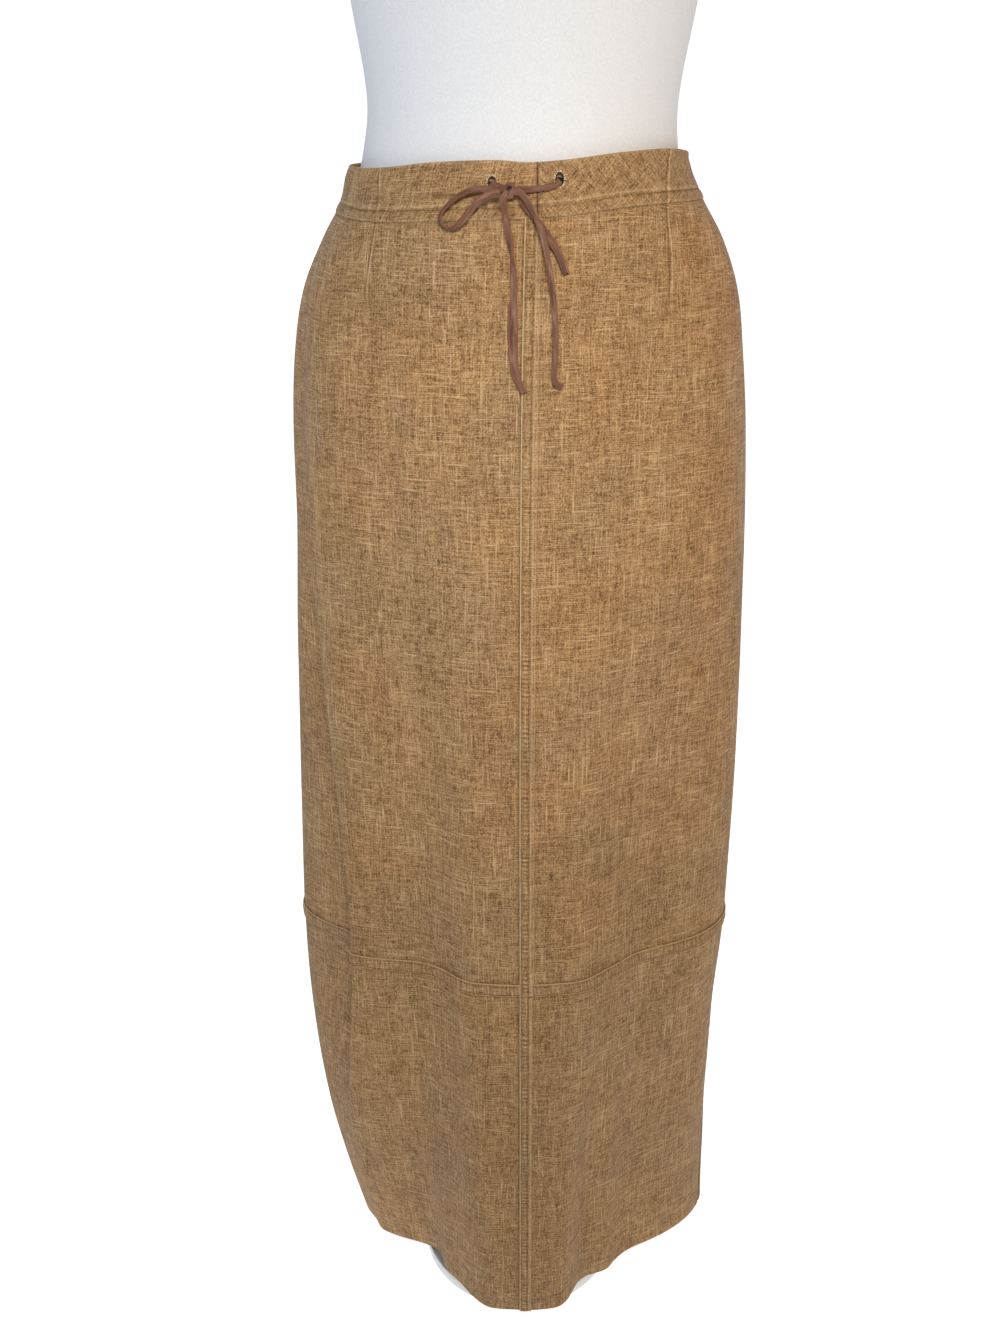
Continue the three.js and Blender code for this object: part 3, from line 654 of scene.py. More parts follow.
def cloth(
    name, node, edges, wall, offset=0.0, step=3.0, relief=None, turn=0.0, shift=(0, 0), fine=None,
    from_right=False,
):
    """A piece of cloth between (left, right, bottom, top) edges, in place of its CAD node.

    Its weave is measured from its left edge, or from its right one; turn and shift lay it on the bolt.
    """
    left, right, bottom, top = edges
    start, z = cloth_grid(left, right, bottom, top, np.linspace(0, 1, 40), np.linspace(0, 1, 20))
    rough = cloth_point(start, z, 0.0) / MM
    width = np.linalg.norm(np.diff(rough, axis=1), axis=2).sum(1).mean()
    height = np.linalg.norm(np.diff(rough, axis=0), axis=2).sum(0).mean()
    edge = wall / 2
    columns = crowded(width, step, edge, fine)
    angle, z = cloth_grid(left, right, bottom, top, columns, crowded(height, step, edge))
    face = cloth_point(angle, z, 0.0) / MM
    u = np.pad(np.linalg.norm(np.diff(face, axis=1), axis=2), ((0, 0), (1, 0))).cumsum(1)
    v = np.pad(np.linalg.norm(np.diff(face, axis=0), axis=2), ((1, 0), (0, 0))).cumsum(0)
    border = np.minimum(np.minimum(u, u[:, -1:] - u), np.minimum(v, v[-1:] - v))
    inside = np.clip(border / edge, 0, 1)
    half = wall / 2 * np.sqrt(1 - (1 - inside) ** 2)
    middle = offset - wall / 2
    raised, rub_highlight_and_shade = relief(angle, z, u, v, u[:, -1:], v[-1:]) if relief else (0.0 * z, 0.0 * z)
    raised = raised * inside
    # A fell's folded edge is painted paler, partly wear and partly painted highlight; other pieces are
    # painted darker into their seams, as painted shade
    if wall == FELL_WALL:
        rub_highlight_and_shade = rub_highlight_and_shade + EDGE_FOLD_RUB_AND_HIGHLIGHT * (1 - np.clip(border / FOLD_FADES, 0, 1))
    else:
        under_top = v[-1:] - v + BAND_TOP_FREE * (wall == BAND_WALL)
        into_seam = np.minimum(np.minimum(u, u[:, -1:] - u), under_top)
        rub_highlight_and_shade = rub_highlight_and_shade + SEAM_SHADE * (1 - np.clip(into_seam / SEAM_FADES, 0, 1))
    outer = cloth_point(angle, z, middle + half + raised).reshape(-1, 3)
    inner = cloth_point(angle, z, middle - half).reshape(-1, 3)
    rows, columns = z.shape
    number = np.arange(rows * columns).reshape(rows, columns)
    held = np.zeros((rows, columns), bool)
    held[1:-1, 1:-1] = True
    under = number.copy()
    under[held] = rows * columns + np.arange(held.sum())

    def quads(grid, flip):
        a, b, c, d = grid[:-1, :-1], grid[:-1, 1:], grid[1:, 1:], grid[1:, :-1]
        order = (a, d, c, b) if flip else (a, b, c, d)
        return np.stack(order, -1).reshape(-1, 4)

    faces = np.concatenate([quads(number, False), quads(under, True)])
    points = np.concatenate([outer, inner[held.ravel()]])
    across = u - u[:, -1:] if from_right else u
    along = np.stack([across, v], -1).reshape(-1, 2) + np.array(shift)
    c, s = math.cos(turn), math.sin(turn)
    along = along @ np.array([[c, -s], [s, c]])
    uv = np.concatenate([along, along[held.ravel()]])
    made = new_mesh(name, points.tolist(), faces.tolist(), uv)
    # The paler and darker marks are stored on each point for the linen: wear, painted highlight and painted
    # shade
    rub_highlight_and_shade_layer = made.data.attributes.new("rub_highlight_and_shade", "FLOAT", "POINT")
    rub_highlight_and_shade_layer.data.foreach_set("value", np.concatenate([rub_highlight_and_shade.ravel(), 0 * rub_highlight_and_shade[held]]).astype(np.float32))
    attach(made, "root")
    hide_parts(node)
    print(name, round(width), "x", round(height), "mm,", len(faces) * 2, "triangles")
    return made, (width, height)


# %% [markdown]
# The four upper panels run from the waist seam to the yoke seam. The front ones are tightest at the waist,
# where a dart takes the fullness out; the dart is a narrow tuck whose stitched groove shows as a fine line,
# painted darker as painted shade. The crest of the deep fold is pressed sharp and painted paler, partly as
# wear and partly as painted highlight, and short level creases gather above the yoke seam, their ridges
# painted paler as painted highlight and their troughs darker as painted shade.

# %% Darts
DARTS = (
    table("z angle", (923, -54.5), (955, -55.2), (976, -55.9), (1020, -59.5)),
    table("z angle", (921, 48.6), (950, 50.3), (979, 52.1), (1020, 59.5)),
)
DART_GROOVE = 0.75
DART_RIDGE = 0.45
PRESSED = table("z angle", (60, -76), (385, -61), (420, -62), (734, -68), (830, -71.8), (930, -70.7))
CRUMPLES = listed(
    "start_angle start end_angle end depth",
    (-58, 399, -36, 414.6, -0.6),
    (-55, 393, -37, 408.2, 0.5),
    (-50, 421, -40, 426, -0.4),
    (-34, 398, -20, 396, -0.35),
    (24, 399, 40, 408, -0.4),
    (-8, 420, 0, 432, 0.3),
    (-30, 1002, -14, 999, -0.3),  # on the waistband
)
CRUMPLE_WIDTH = 1.9


def hump(value, centre, width):
    """A soft ridge over a distance: 1 at its centre, and low again beyond its width."""
    return np.exp(-(((value - centre) / width) ** 2))


def crumple_depth(degrees, z):
    """Short level creases above the yoke seam, where the seam's edge has drawn the cloth in."""
    total = np.zeros(z.shape)
    for line in CRUMPLES:
        share = (degrees - line["start_angle"]) / (line["end_angle"] - line["start_angle"])
        off = z - line["start"] - (line["end"] - line["start"]) * share
        length = np.sin(np.clip(share, 0, 1) * math.pi)
        total = total + line["depth"] * hump(off, 0, CRUMPLE_WIDTH) * length
    return total


def off_line(rows, degrees, z):
    """How far a point of the cloth lies to the right of a line drawn on it, in millimetres."""
    return np.radians(degrees - smooth_column(rows, "angle", z)) * cloth_radius(np.radians(degrees), z)


def dart_relief(angle, z, u, v, u_end, v_end):
    """A fine stitched groove with a ridge beside it and a dimple at its tip, the crest and the creases."""
    degrees = np.degrees(angle)
    crest = hump(off_line(PRESSED, degrees, z), 0, 2.2) * smooth_step(z, 60, 120)
    crumples = crumple_depth(degrees, z)
    raised = 0.35 * crest + crumples
    # The pressed crest is painted paler, partly wear and partly painted highlight; crumple ridges are painted
    # paler as painted highlight and their troughs darker as painted shade
    rub_highlight_and_shade = 0.28 * crest + 0.8 * crumples
    for dart in DARTS:
        tip = dart["z"][0]
        off = off_line(dart, degrees, z)
        seen = smooth_step(z, tip - 2, tip + 12)
        groove = seen * hump(off, 0, 0.7)
        ridge = seen * hump(off, 1.5, 0.8)
        dimple = hump(off, 0, 5) * hump(z, tip, 9)
        raised = raised - DART_GROOVE * groove + DART_RIDGE * ridge - 0.7 * dimple
        # The dart's groove and dimple are painted darker as painted shade, and the ridge beside it paler as
        # painted highlight
        rub_highlight_and_shade = rub_highlight_and_shade - 0.9 * groove + 0.75 * ridge - 0.2 * dimple
    return raised, rub_highlight_and_shade


# %% Panels
UPPER_STEP = 2.6
LOWER_STEP = 3.0
BACK_PANEL_STEP = 3.6
LOWER_SHIFT = (70, 1000)
CENTRE_LEFT = centre_line(-GAP / 2)
CENTRE_RIGHT = centre_line(GAP / 2)
UPPER_BOTTOM = level(YOKE_SEAM + GAP / 2)
UPPER_TOP = waist_edge(WAIST_SEAM, "seam", GAP / 2)
LOWER_TOP = level(YOKE_SEAM - GAP / 2)
QUARTERS = {
    "front_left": (seam_edge(-SIDE, 1), CENTRE_LEFT),
    "front_right": (CENTRE_RIGHT, seam_edge(SIDE, -1)),
    "back_right": (seam_edge(SIDE, 1), seam_edge(2 * SIDE, -1)),
    "back_left": (seam_edge(-2 * SIDE, 1), seam_edge(-SIDE, -1)),
}
VENT_EDGES = {
    "front_left": (vent_edge(-SIDE, 1, VENT["left"]), CENTRE_LEFT),
    "front_right": (CENTRE_RIGHT, vent_edge(SIDE, -1, VENT["right"])),
    "back_right": (vent_edge(SIDE, 1, VENT["right"]), seam_edge(2 * SIDE, -1)),
    "back_left": (seam_edge(-2 * SIDE, 1), vent_edge(-SIDE, -1, VENT["left"])),
}
# The stretch of each front panel, as shares of its width, where the dart needs a finer grid
FINE = {"front_left": (0.33, 0.42), "front_right": (0.53, 0.645)}
panels = {}
for place, (left, right) in QUARTERS.items():
    front = place.startswith("front")
    node = f"{place}_upper"
    edges = (left, right, UPPER_BOTTOM, UPPER_TOP)
    step = UPPER_STEP if front else BACK_PANEL_STEP
    relief = dart_relief if front else None
    fine = FINE.get(place)
    left_half = place.endswith("left")
    panels[node] = cloth(f"panel_{node}", node, edges, WALL, 0, step, relief, fine=fine, from_right=left_half)
for place, (left, right) in VENT_EDGES.items():
    front = place.startswith("front")
    node = f"{place}_lower"
    edges = (left, right, level(HEM), LOWER_TOP)
    step = LOWER_STEP if front else BACK_PANEL_STEP
    left_half = place.endswith("left")
    panels[node] = cloth(
        f"panel_{node}", node, edges, WALL, step=step, shift=LOWER_SHIFT, from_right=left_half
    )

# %% [markdown]
# Felled seams are folded strips stitched down along both edges. Between the two lines of stitching the
# cloth puffs up, and because the thread is tighter than the cloth it puckers into a small ladder.

# %% Felled seams
FELL_STEP = 0.9
FELL_LAP = -0.4
FELL_WIDTH = 11
LOWER_FELL_WIDTH = 10
YOKE_FELL_HEIGHT = 11
STITCH_IN = 1.5
UPRIGHT_STITCH = 7.2
LADDER = 3.9
LADDER_FADES = (650, 850)
# Slow waves that make the ladder's spacing wander: how much, over how many millimetres, and seeds
LADDER_WANDERS = ((2.9, 23, 1), (2.1, 9.1, 2), (1.1, 4.3, 1))
YOKE_LAP = 0.6


def pucker(along, seed):
    """Uneven small waves along a line of stitching, from about -1 to 1."""
    wander = sum(by * np.sin(along / over + seeds * seed) for by, over, seeds in LADDER_WANDERS)
    strong = 0.52 + 0.48 * np.sin(along / 17 + 3 * seed) * np.sin(along / 5.9 + seed)
    return strong * np.tanh(1.8 * np.sin(2 * math.pi * along / LADDER + wander))


def felled(upright, seed, ends=(0.0, 0.0)):
    """A felled seam's relief; ends paints its bottom and top ends with highlight above 0 and shade below 0.
    """

    def relief(angle, z, u, v, u_end, v_end):
        along, across, wide = (v, u, u_end) if upright else (u, v, v_end)
        far = UPRIGHT_STITCH if upright else wide - STITCH_IN
        stitched = hump(across, STITCH_IN, 0.7) + hump(across, far, 0.7)
        between = np.clip((across - STITCH_IN) / (far - STITCH_IN), 0, 1)
        window = np.sin(between * math.pi) ** 0.5
        share = np.interp(z, LADDER_FADES, (1.0, 0.3)) if upright else 0.6
        ladder = window * pucker(along + 0.12 * across, seed) * share
        beyond = hump(across - far, 1.3, 0.8)
        raised = 0.35 * window**1.2 + 0.32 * ladder - 0.5 * stitched + 0.3 * beyond
        # Ladder crests and the ridge beyond the far stitching are painted paler as painted highlight; ladder
        # troughs and the stitching are painted darker as painted shade
        rub_highlight_and_shade = 0.75 * ladder - 0.8 * stitched + 0.6 * beyond
        if upright:
            # The folded edge is painted paler, partly wear and partly painted highlight, and the two ends get
            # painted highlight or painted shade
            rub_highlight_and_shade = rub_highlight_and_shade + 0.9 * hump(across, 0.3, 0.6)
            rub_highlight_and_shade = rub_highlight_and_shade + ends[0] * hump(v, 0, 0.9) + ends[1] * hump(v_end - v, 0, 1.1)
        return raised, rub_highlight_and_shade

    return relief


UPPER_END = waist_edge(WAIST_SEAM, "seam", GAP)
# Painted highlight at the upper fell's bottom end, painted shade at the lower fell's top end
FELL_TIP_HIGHLIGHT_AND_SHADE = ((0.8, 0.0), (0.0, -1.0))
FELLS = {
    "centre_front_fell_upper": (centre_line(FELL_LAP), centre_line(FELL_WIDTH), UPPER_BOTTOM, UPPER_END),
    "centre_front_fell_lower": (centre_line(FELL_LAP), centre_line(LOWER_FELL_WIDTH), level(HEM), LOWER_TOP),
}
YOKE_TOP = level(YOKE_SEAM + YOKE_FELL_HEIGHT)
YOKE_ENDS = {
    "yoke_fell_front_left": (seam_edge(-SIDE, 1), centre_line(-GAP)),
    "yoke_fell_front_right": (centre_line(FELL_WIDTH + GAP), seam_edge(SIDE, -1)),
    "yoke_fell_back_right": (seam_edge(SIDE, 1), seam_edge(2 * SIDE, -1)),
    "yoke_fell_back_left": (seam_edge(-2 * SIDE, 1), seam_edge(-SIDE, -1)),
}
FELL_OUT = GAP + FELL_WALL
strips = {}
for seed, (node, edges) in enumerate(FELLS.items()):
    relief = felled(True, seed, FELL_TIP_HIGHLIGHT_AND_SHADE[seed])
    shift = (3, 50 * seed)
    strips[node] = cloth(f"seam_{node}", node, edges, FELL_WALL, FELL_OUT, FELL_STEP, relief, 0.0, shift)
for seed, (node, (left, right)) in enumerate(YOKE_ENDS.items()):
    edges = (left, right, level(YOKE_SEAM - YOKE_LAP), YOKE_TOP)
    relief = felled(False, seed + len(FELLS))
    shift = (20 * seed, 9)
    strips[node] = cloth(f"seam_{node}", node, edges, FELL_WALL, FELL_OUT, FELL_STEP, relief, 0.1, shift)

# %% [markdown]
# The waistband is a doubled strip that is folded over at the top. A line of topstitching eight
# millimetres above the seam holds the drawstring's casing, and the cloth above it is a little fuller.

# %% Waistband
BAND_STEP = 1.25
SEAM_LAP = 0.5
CASING = 7.8
BAND_JOIN_X = 5.5
BIAS = math.radians(40)


def band_relief(angle, z, u, v, u_end, v_end):
    """The casing's stitched groove and ridge, fuller cloth above and below, and the darts that run in."""
    stitched = hump(v, CASING, 0.8)
    ridge = hump(v - CASING, 1.7, 1.0)
    above = smooth_step(v, CASING, CASING + 9) * (1 - smooth_step(v, v_end - 8, v_end - 1))
    below = np.sin(np.clip(v / CASING, 0, 1) * math.pi)
    ripple = pucker(u * 0.55 + 0.3 * v, 5.0) * hump(v, CASING, 5)
    crease = hump(np.degrees(angle), -30, 8) * hump(v, 16.5, 1.4)
    dart, dart_rub_highlight_and_shade = dart_relief(angle, z, u, v, u_end, v_end)
    raised = 0.4 * above + 0.35 * below - 0.65 * stitched + 0.2 * ridge + 0.3 * ripple - 0.6 * crease + dart
    top = hump(v_end - v, 0, 1.5)
    hem = hump(v, 0, 1.3)
    # The ridge and ripple crests are painted paler as painted highlight, the folded top and the bottom edge
    # paler as wear and painted highlight, and the stitching, crease and ripple troughs darker as painted
    # shade
    rub_highlight_and_shade = 0.6 * ridge - 0.85 * stitched + 0.3 * ripple - 0.8 * crease + 0.3 * top + 0.4 * hem
    return raised, rub_highlight_and_shade + dart_rub_highlight_and_shade


band_join = float(front_angle(BAND_JOIN_X, WAIST_TOP))
BANDS = {
    "waistband_front_left": (-SIDE, band_join),
    "waistband_front_right": (band_join, SIDE),
    "waistband_back_right": (SIDE, 2 * SIDE),
    "waistband_back_left": (-2 * SIDE, -SIDE),
}
BAND_BOTTOM = waist_edge(WAIST_SEAM, "seam", SEAM_LAP)
BAND_TOP = waist_edge(WAIST_TOP, "top")
BAND_FINE = {"waistband_front_left": (0.32, 0.36), "waistband_front_right": (0.61, 0.67)}
bands = {}
for node, (start, end) in BANDS.items():
    edges = (seam_edge(start, 1), seam_edge(end, 1), BAND_BOTTOM, BAND_TOP)
    turn = BIAS if node == "waistband_front_right" else 0.0
    name = node.replace("waistband", "band")
    fine = BAND_FINE.get(node)
    bands[node] = cloth(name, node, edges, BAND_WALL, BAND_PROUD, BAND_STEP, band_relief, turn, fine=fine)

# %% [markdown]
# Two worked eyelets let the lace out of the casing. Each is an upright oval cut through the outer cloth,
# which a boolean with a squashed cylinder makes, and its raw edge is bound with short stitches that stand
# out like rays. The casing's inside lies in shade, so a near-black plug closes it as painted shade, and
# the cord round the rim is darkened, partly its own colour and partly painted shade.

# %% Eyelets
EYELETS = {"left": (-23.4, 1001, "waistband_front_left"), "right": (20, 1003.5, "waistband_front_right")}
EYELET_SIZE = (5, 8)
EYELET_DEPTH = 1.7
CUT_PROUD = 1.2
BAND_FACE = 0.6
RIM_POINTS = 28
SHADE_PLUG_WALL = 0.2
BINDING = 0.55
RAYS = 22
RAY_LENGTH = 1.9
RAY_RADIUS = 0.36


def facing(x, z):
    """The outward normal of the cloth at a point seen from the front, and the point at its surface."""
    angle = front_angle(x, z)
    here = Vector(cloth_point(angle, z, BAND_PROUD))
    out = Vector(cloth_point(angle, z, BAND_PROUD + 1.0)) - here
    return here, out.normalized()


def oval_on_band(x, z, turn, grow, out):
    """A point of an upright oval round an eyelet, on the band's own face."""
    wide, high = EYELET_SIZE
    px = x + (wide / 2 + grow) * math.cos(turn)
    pz = z + (high / 2 + grow) * math.sin(turn)
    here, normal = facing(px, pz)
    return here + normal * (out + BAND_FACE) * MM


def plug(name, rim, to_back):
    """A closed piece behind an opening, from the points of its rim and the way to its back."""
    count = len(rim)
    sides = [(k, count + k, count + (k + 1) % count, (k + 1) % count) for k in range(count)]
    caps = [tuple(range(count)), tuple(range(2 * count - 1, count - 1, -1))]
    made = new_mesh(name, rim + [point + to_back for point in rim], sides + caps)
    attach(made, "root")
    return made


def capsule_rings(start, end, radius, up, sides=6):
    """Points of a short thread with rounded ends, as four rings between two tips."""
    along = (end - start).normalized()
    across = along.cross(up).normalized()
    lift = across.cross(along)
    points = [start]
    for share, size in ((0.08, 0.7), (0.25, 1.0), (0.75, 1.0), (0.92, 0.7)):
        middle = start.lerp(end, share)
        for k in range(sides):
            turn = 2 * math.pi * k / sides
            points.append(middle + (across * math.cos(turn) + lift * math.sin(turn)) * radius * size)
    points.append(end)
    return points


def threads(name, pairs, radius, sides=6):
    """Many short threads as one mesh, from (start, end, up) of each."""
    faces = []
    for k in range(sides):
        m = (k + 1) % sides
        faces.append((0, 1 + m, 1 + k))
        for ring in range(3):
            a = 1 + ring * sides
            faces.append((a + k, a + m, a + sides + m, a + sides + k))
        last = 1 + 3 * sides
        faces.append((last + k, last + m, last + sides))
    points = []
    all_faces = []
    for start, end, up in pairs:
        base = len(points)
        points += capsule_rings(start, end, radius, up, sides)
        all_faces += [tuple(base + i for i in face) for face in faces]
    made = new_mesh(name, points, all_faces)
    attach(made, "root")
    return made


eyelet_threads = []
painted_shades = []
for side, (x, z, node) in EYELETS.items():
    here, normal = facing(x, z)
    bpy.ops.object.select_all(action="DESELECT")
    bpy.ops.mesh.primitive_cylinder_add(vertices=36, radius=1, depth=2, location=(0, 0, 0))
    cutter = bpy.context.object
    wide, high = EYELET_SIZE
    size = Matrix.Diagonal((wide / 2 * MM, high / 2 * MM, (EYELET_DEPTH + CUT_PROUD) / 2 * MM, 1))
    turned = normal.to_track_quat("Z", "Y").to_matrix().to_4x4()
    middle = here - normal * (EYELET_DEPTH - CUT_PROUD) / 2 * MM
    cutter.data.transform(Matrix.Translation(middle) @ turned @ size)
    band = bands[node][0]
    cut = band.modifiers.new("eyelet", "BOOLEAN")
    cut.operation = "DIFFERENCE"
    cut.object = cutter
    cut.solver = "EXACT"
    bpy.context.view_layer.objects.active = band
    bpy.ops.object.modifier_apply(modifier="eyelet")
    bpy.data.objects.remove(cutter, do_unlink=True)
    rim = []
    for k in range(RAYS):
        turn = 2 * math.pi * (k + 0.35 * math.sin(5 * k)) / RAYS
        inner = oval_on_band(x, z, turn, -0.25, -0.3)
        outer = oval_on_band(x, z, turn, RAY_LENGTH * (0.8 + 0.2 * math.sin(3 * k)), 0.05)
        rim.append((inner, outer, normal))
    eyelet_threads.append(threads(f"eyelet_{side}_rays", rim, RAY_RADIUS * MM))
    around = [2 * math.pi * k / RIM_POINTS for k in range(RIM_POINTS)]
    # The cord round the hole's edge is dark brown, partly its own colour and partly painted shade at the rim
    edge = [oval_on_band(x, z, turn, 0.0, -0.1) for turn in around]
    bound = list(zip(edge, edge[1:] + edge[:1], [normal] * RIM_POINTS))
    eyelet_threads.append(threads(f"eyelet_{side}_binding", bound, BINDING * MM))
    # The plug is painted shade: a near-black piece where the casing's inside only lies in shadow
    floor = [oval_on_band(x, z, turn, 0.2, -EYELET_DEPTH - BAND_FACE + 0.1) for turn in around]
    painted_shades.append(plug(f"eyelet_{side}_painted_shade", floor, -normal * SHADE_PLUG_WALL * MM))
    print("eyelet", side, "cut in", band.name, len(band.data.polygons), "faces")

# %% [markdown]
# Where the knot's two turns part, the eye looks into it and sees only shadow. A small dark oval stands
# in that gap, because turns this small would never part so far as they do in worn suede.

# %% The dark hollow inside the knot
HOLLOW_PLACE = (-12.3, 998.7)
HOLLOW_SIZE = (1.6, 1.0)
HOLLOW_LIFT = 6.5
HOLLOW_DEPTH = 0.8
HOLLOW_POINTS = 20
hollow_rim = []
for k in range(HOLLOW_POINTS):
    turn = 2 * math.pi * k / HOLLOW_POINTS
    x = HOLLOW_PLACE[0] + HOLLOW_SIZE[0] * math.cos(turn)
    z = HOLLOW_PLACE[1] + HOLLOW_SIZE[1] * math.sin(turn)
    hollow_rim.append(before_cloth(x, z, HOLLOW_LIFT))
knot_hollow = plug("knot_hollow", hollow_rim, Vector((0, HOLLOW_DEPTH * MM, 0)))
painted_shades.append(knot_hollow)
print(knot_hollow.name, "stands", HOLLOW_LIFT, "mm in front of the band")

# %% [markdown]
# The stitches are modelled once as a short thread with rounded ends and repeated along each seam. Each
# dips into the cloth at both ends, as a lockstitch does, so that only its back shows.

# %% Stitches
STITCH = 2.5
STITCH_GAP = 0.9
THREAD_RADIUS = 0.2
SUNK = 0.2
BAND_SUNK = 0.22
END_FREE = 1.0
BAND_SAMPLES = 160
FELL_SAMPLES = 240
YOKE_SAMPLES = 200


def stitches(name, angles, heights, out):
    """Threads along a line of the cloth that is given by angles and heights."""
    line = cloth_point(angles, heights, out)
    up = cloth_point(angles, heights, out + 1.0) - line
    run = np.concatenate([[0], np.linalg.norm(np.diff(line, axis=0), axis=1).cumsum()]) / MM

    def place(samples, at):
        return Vector([np.interp(at, run, samples[:, axis]) for axis in range(3)])

    pairs = []
    for start in np.arange(END_FREE, run[-1] - STITCH - END_FREE, STITCH + STITCH_GAP):
        pairs.append((place(line, start), place(line, start + STITCH), place(up, start).normalized()))
    return threads(name, pairs, THREAD_RADIUS * MM)


seam_threads = []
for node, (start, end) in BANDS.items():
    angles = np.linspace(start + 0.01, end - 0.01, BAND_SAMPLES)
    heights = BAND_BOTTOM(angles) + CASING
    seam_threads.append(stitches(f"topstitch_{node}", angles, heights, BAND_PROUD - BAND_SUNK))
for node, (left, right, bottom, top) in FELLS.items():
    lowest, highest = float(bottom(0.0)), float(top(0.0))
    heights = np.linspace(lowest + END_FREE, highest - END_FREE, FELL_SAMPLES)
    for number, x in enumerate((STITCH_IN, UPRIGHT_STITCH)):
        angles = centre_line(x)(heights)
        seam_threads.append(stitches(f"stitch_{node}_{number}", angles, heights, FELL_OUT - SUNK))
for node, (left, right) in YOKE_ENDS.items():
    for number, rise in enumerate((STITCH_IN, YOKE_FELL_HEIGHT - STITCH_IN)):
        z = YOKE_SEAM + rise
        start, end = float(left(z)), float(right(z))
        angles = np.linspace(start + 0.005, end - 0.005, YOKE_SAMPLES)
        heights = np.full(YOKE_SAMPLES, z)
        seam_threads.append(stitches(f"stitch_{node}_{number}", angles, heights, FELL_OUT - SUNK))
print(len(seam_threads), "lines of stitches,", sum(len(t.data.polygons) for t in seam_threads), "faces")

# %% [markdown]
# The dress form is a light padded shell under stretched jersey. It has no limbs and no detail, only the
# oval sections of a general figure, so its skin is a grid through those sections like the cloth's.

# %% Dress form
FORM_SECTIONS = table(
    "z left right front back",
    (716, 144, 139, 88, 98),
    (724, 156, 151, 97, 108),
    (760, 165, 160, 104, 117),
    (820, 169, 163, 106.5, 121),
    (880, 167, 158, 106.5, 115),
    (925, 159, 152, 105, 104.5),
    (960, 144.5, 140, 103.5, 96),
    (987, 130.2, 125.2, 101.9, 90.9),
    (1000, 122, 113, 97, 85),
    (1014, 117, 109, 94, 82),
    (1052, 112, 107, 90, 79),
    (1115, 121, 117, 98, 84),
    (1180, 130, 127, 110, 90),
    (1240, 141, 138, 119, 96),
    (1285, 149, 146, 118, 98),
    (1330, 155, 152, 110, 98),
    (1375, 155, 152, 98, 94),
    (1404, 144, 141, 85, 87),
    (1425, 118, 115, 71, 77),
    (1443, 84, 82, 60, 66),
    (1460, 60, 58, 53, 57),
    (1482, 52, 50, 48, 52),
    (1520, 50, 48, 46, 50),
)
FORM_BOTTOM = 716
FORM_TOP = 1520
FORM_SIDES = 120
FORM_RISE = 6.0
FORM_MEAN_RADIUS = 120
even_heights = np.arange(FORM_BOTTOM, FORM_TOP, FORM_RISE)
form_heights = np.unique(np.concatenate([FORM_SECTIONS["z"], even_heights]))
turns = np.linspace(0, 2 * math.pi, FORM_SIDES, endpoint=False)
angle, z = np.meshgrid(turns, form_heights)
radius = oval_radius(FORM_SECTIONS, angle, z)
grid = np.stack([radius * np.sin(angle), -radius * np.cos(angle), z], -1).reshape(-1, 3) * MM
rows = len(form_heights)
number = np.arange(rows * FORM_SIDES).reshape(rows, FORM_SIDES)
following = np.roll(number, -1, axis=1)
quads = np.stack([number[:-1], following[:-1], following[1:], number[1:]], -1).reshape(-1, 4).tolist()
form_faces = quads + [number[0][::-1].tolist(), number[-1].tolist()]
form_uv = np.stack([angle * FORM_MEAN_RADIUS, z], -1).reshape(-1, 2)
torso = new_mesh("form_body", grid.tolist(), form_faces, form_uv)
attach(torso, "root")
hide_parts("form_torso")
print(torso.name, len(torso.data.polygons), "faces")

# %% [markdown]
# The cap, the pole and the base are turned and bevelled steel; the pole and the base are under white
# powder coat, and the cap is covered in the form's jersey. Each starts as a cylinder of its size, and a
# bevel gives it the small round edge that catches the light.

# %% Stand
BASE_HEIGHT = 12
POLE_HEIGHT = FORM_BOTTOM - BASE_HEIGHT - 2 * GAP
# Radius, underside, height, width of the bevel, and the number of sides
STAND = {
    "form_neck_cap": (46, FORM_TOP + GAP, 14, 4.0, 64),
    "form_pole": (12.5, BASE_HEIGHT + GAP, POLE_HEIGHT, 0.4, 48),
    "form_base": (92, 0, BASE_HEIGHT, 1.5, 96),
}
stand = []
for node, (radius, bottom, height, bevel, sides) in STAND.items():
    bpy.ops.object.select_all(action="DESELECT")
    place = (0, 0, (bottom + height / 2) * MM)
    bpy.ops.mesh.primitive_cylinder_add(vertices=sides, radius=radius * MM, depth=height * MM, location=place)
    made = bpy.context.object
    made.name = node.replace("form_", "stand_")
    bpy.ops.object.transform_apply(location=True, rotation=True, scale=True)
    rounded = made.modifiers.new("edge", "BEVEL")
    rounded.width = bevel * MM
    rounded.segments = 5
    rounded.limit_method = "ANGLE"
    bpy.ops.object.modifier_apply(modifier="edge")
    bpy.ops.object.shade_smooth_by_angle(angle=math.radians(40))
    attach(made, "root")
    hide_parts(node)
    stand.append(made)
    print(made.name, len(made.data.polygons), "faces")

# %% [markdown]
# Materials follow. Each starts from what the real one is and how it was made. Colours are written as the
# sRGB values that a colour picker shows, and one function turns them to linear. Another adds a node, and
# three short ones build on it: a ramp of colours, a mix of two colours, and a value times a share plus
# another value.

# %% Helpers for materials
def linear(text):
    """An sRGB hex colour as linear red, green, blue and alpha."""
    parts = [int(text[i:i + 2], 16) / 255 for i in (0, 2, 4)]
    return [p / 12.92 if p <= 0.04045 else ((p + 0.055) / 1.055) ** 2.4 for p in parts] + [1.0]


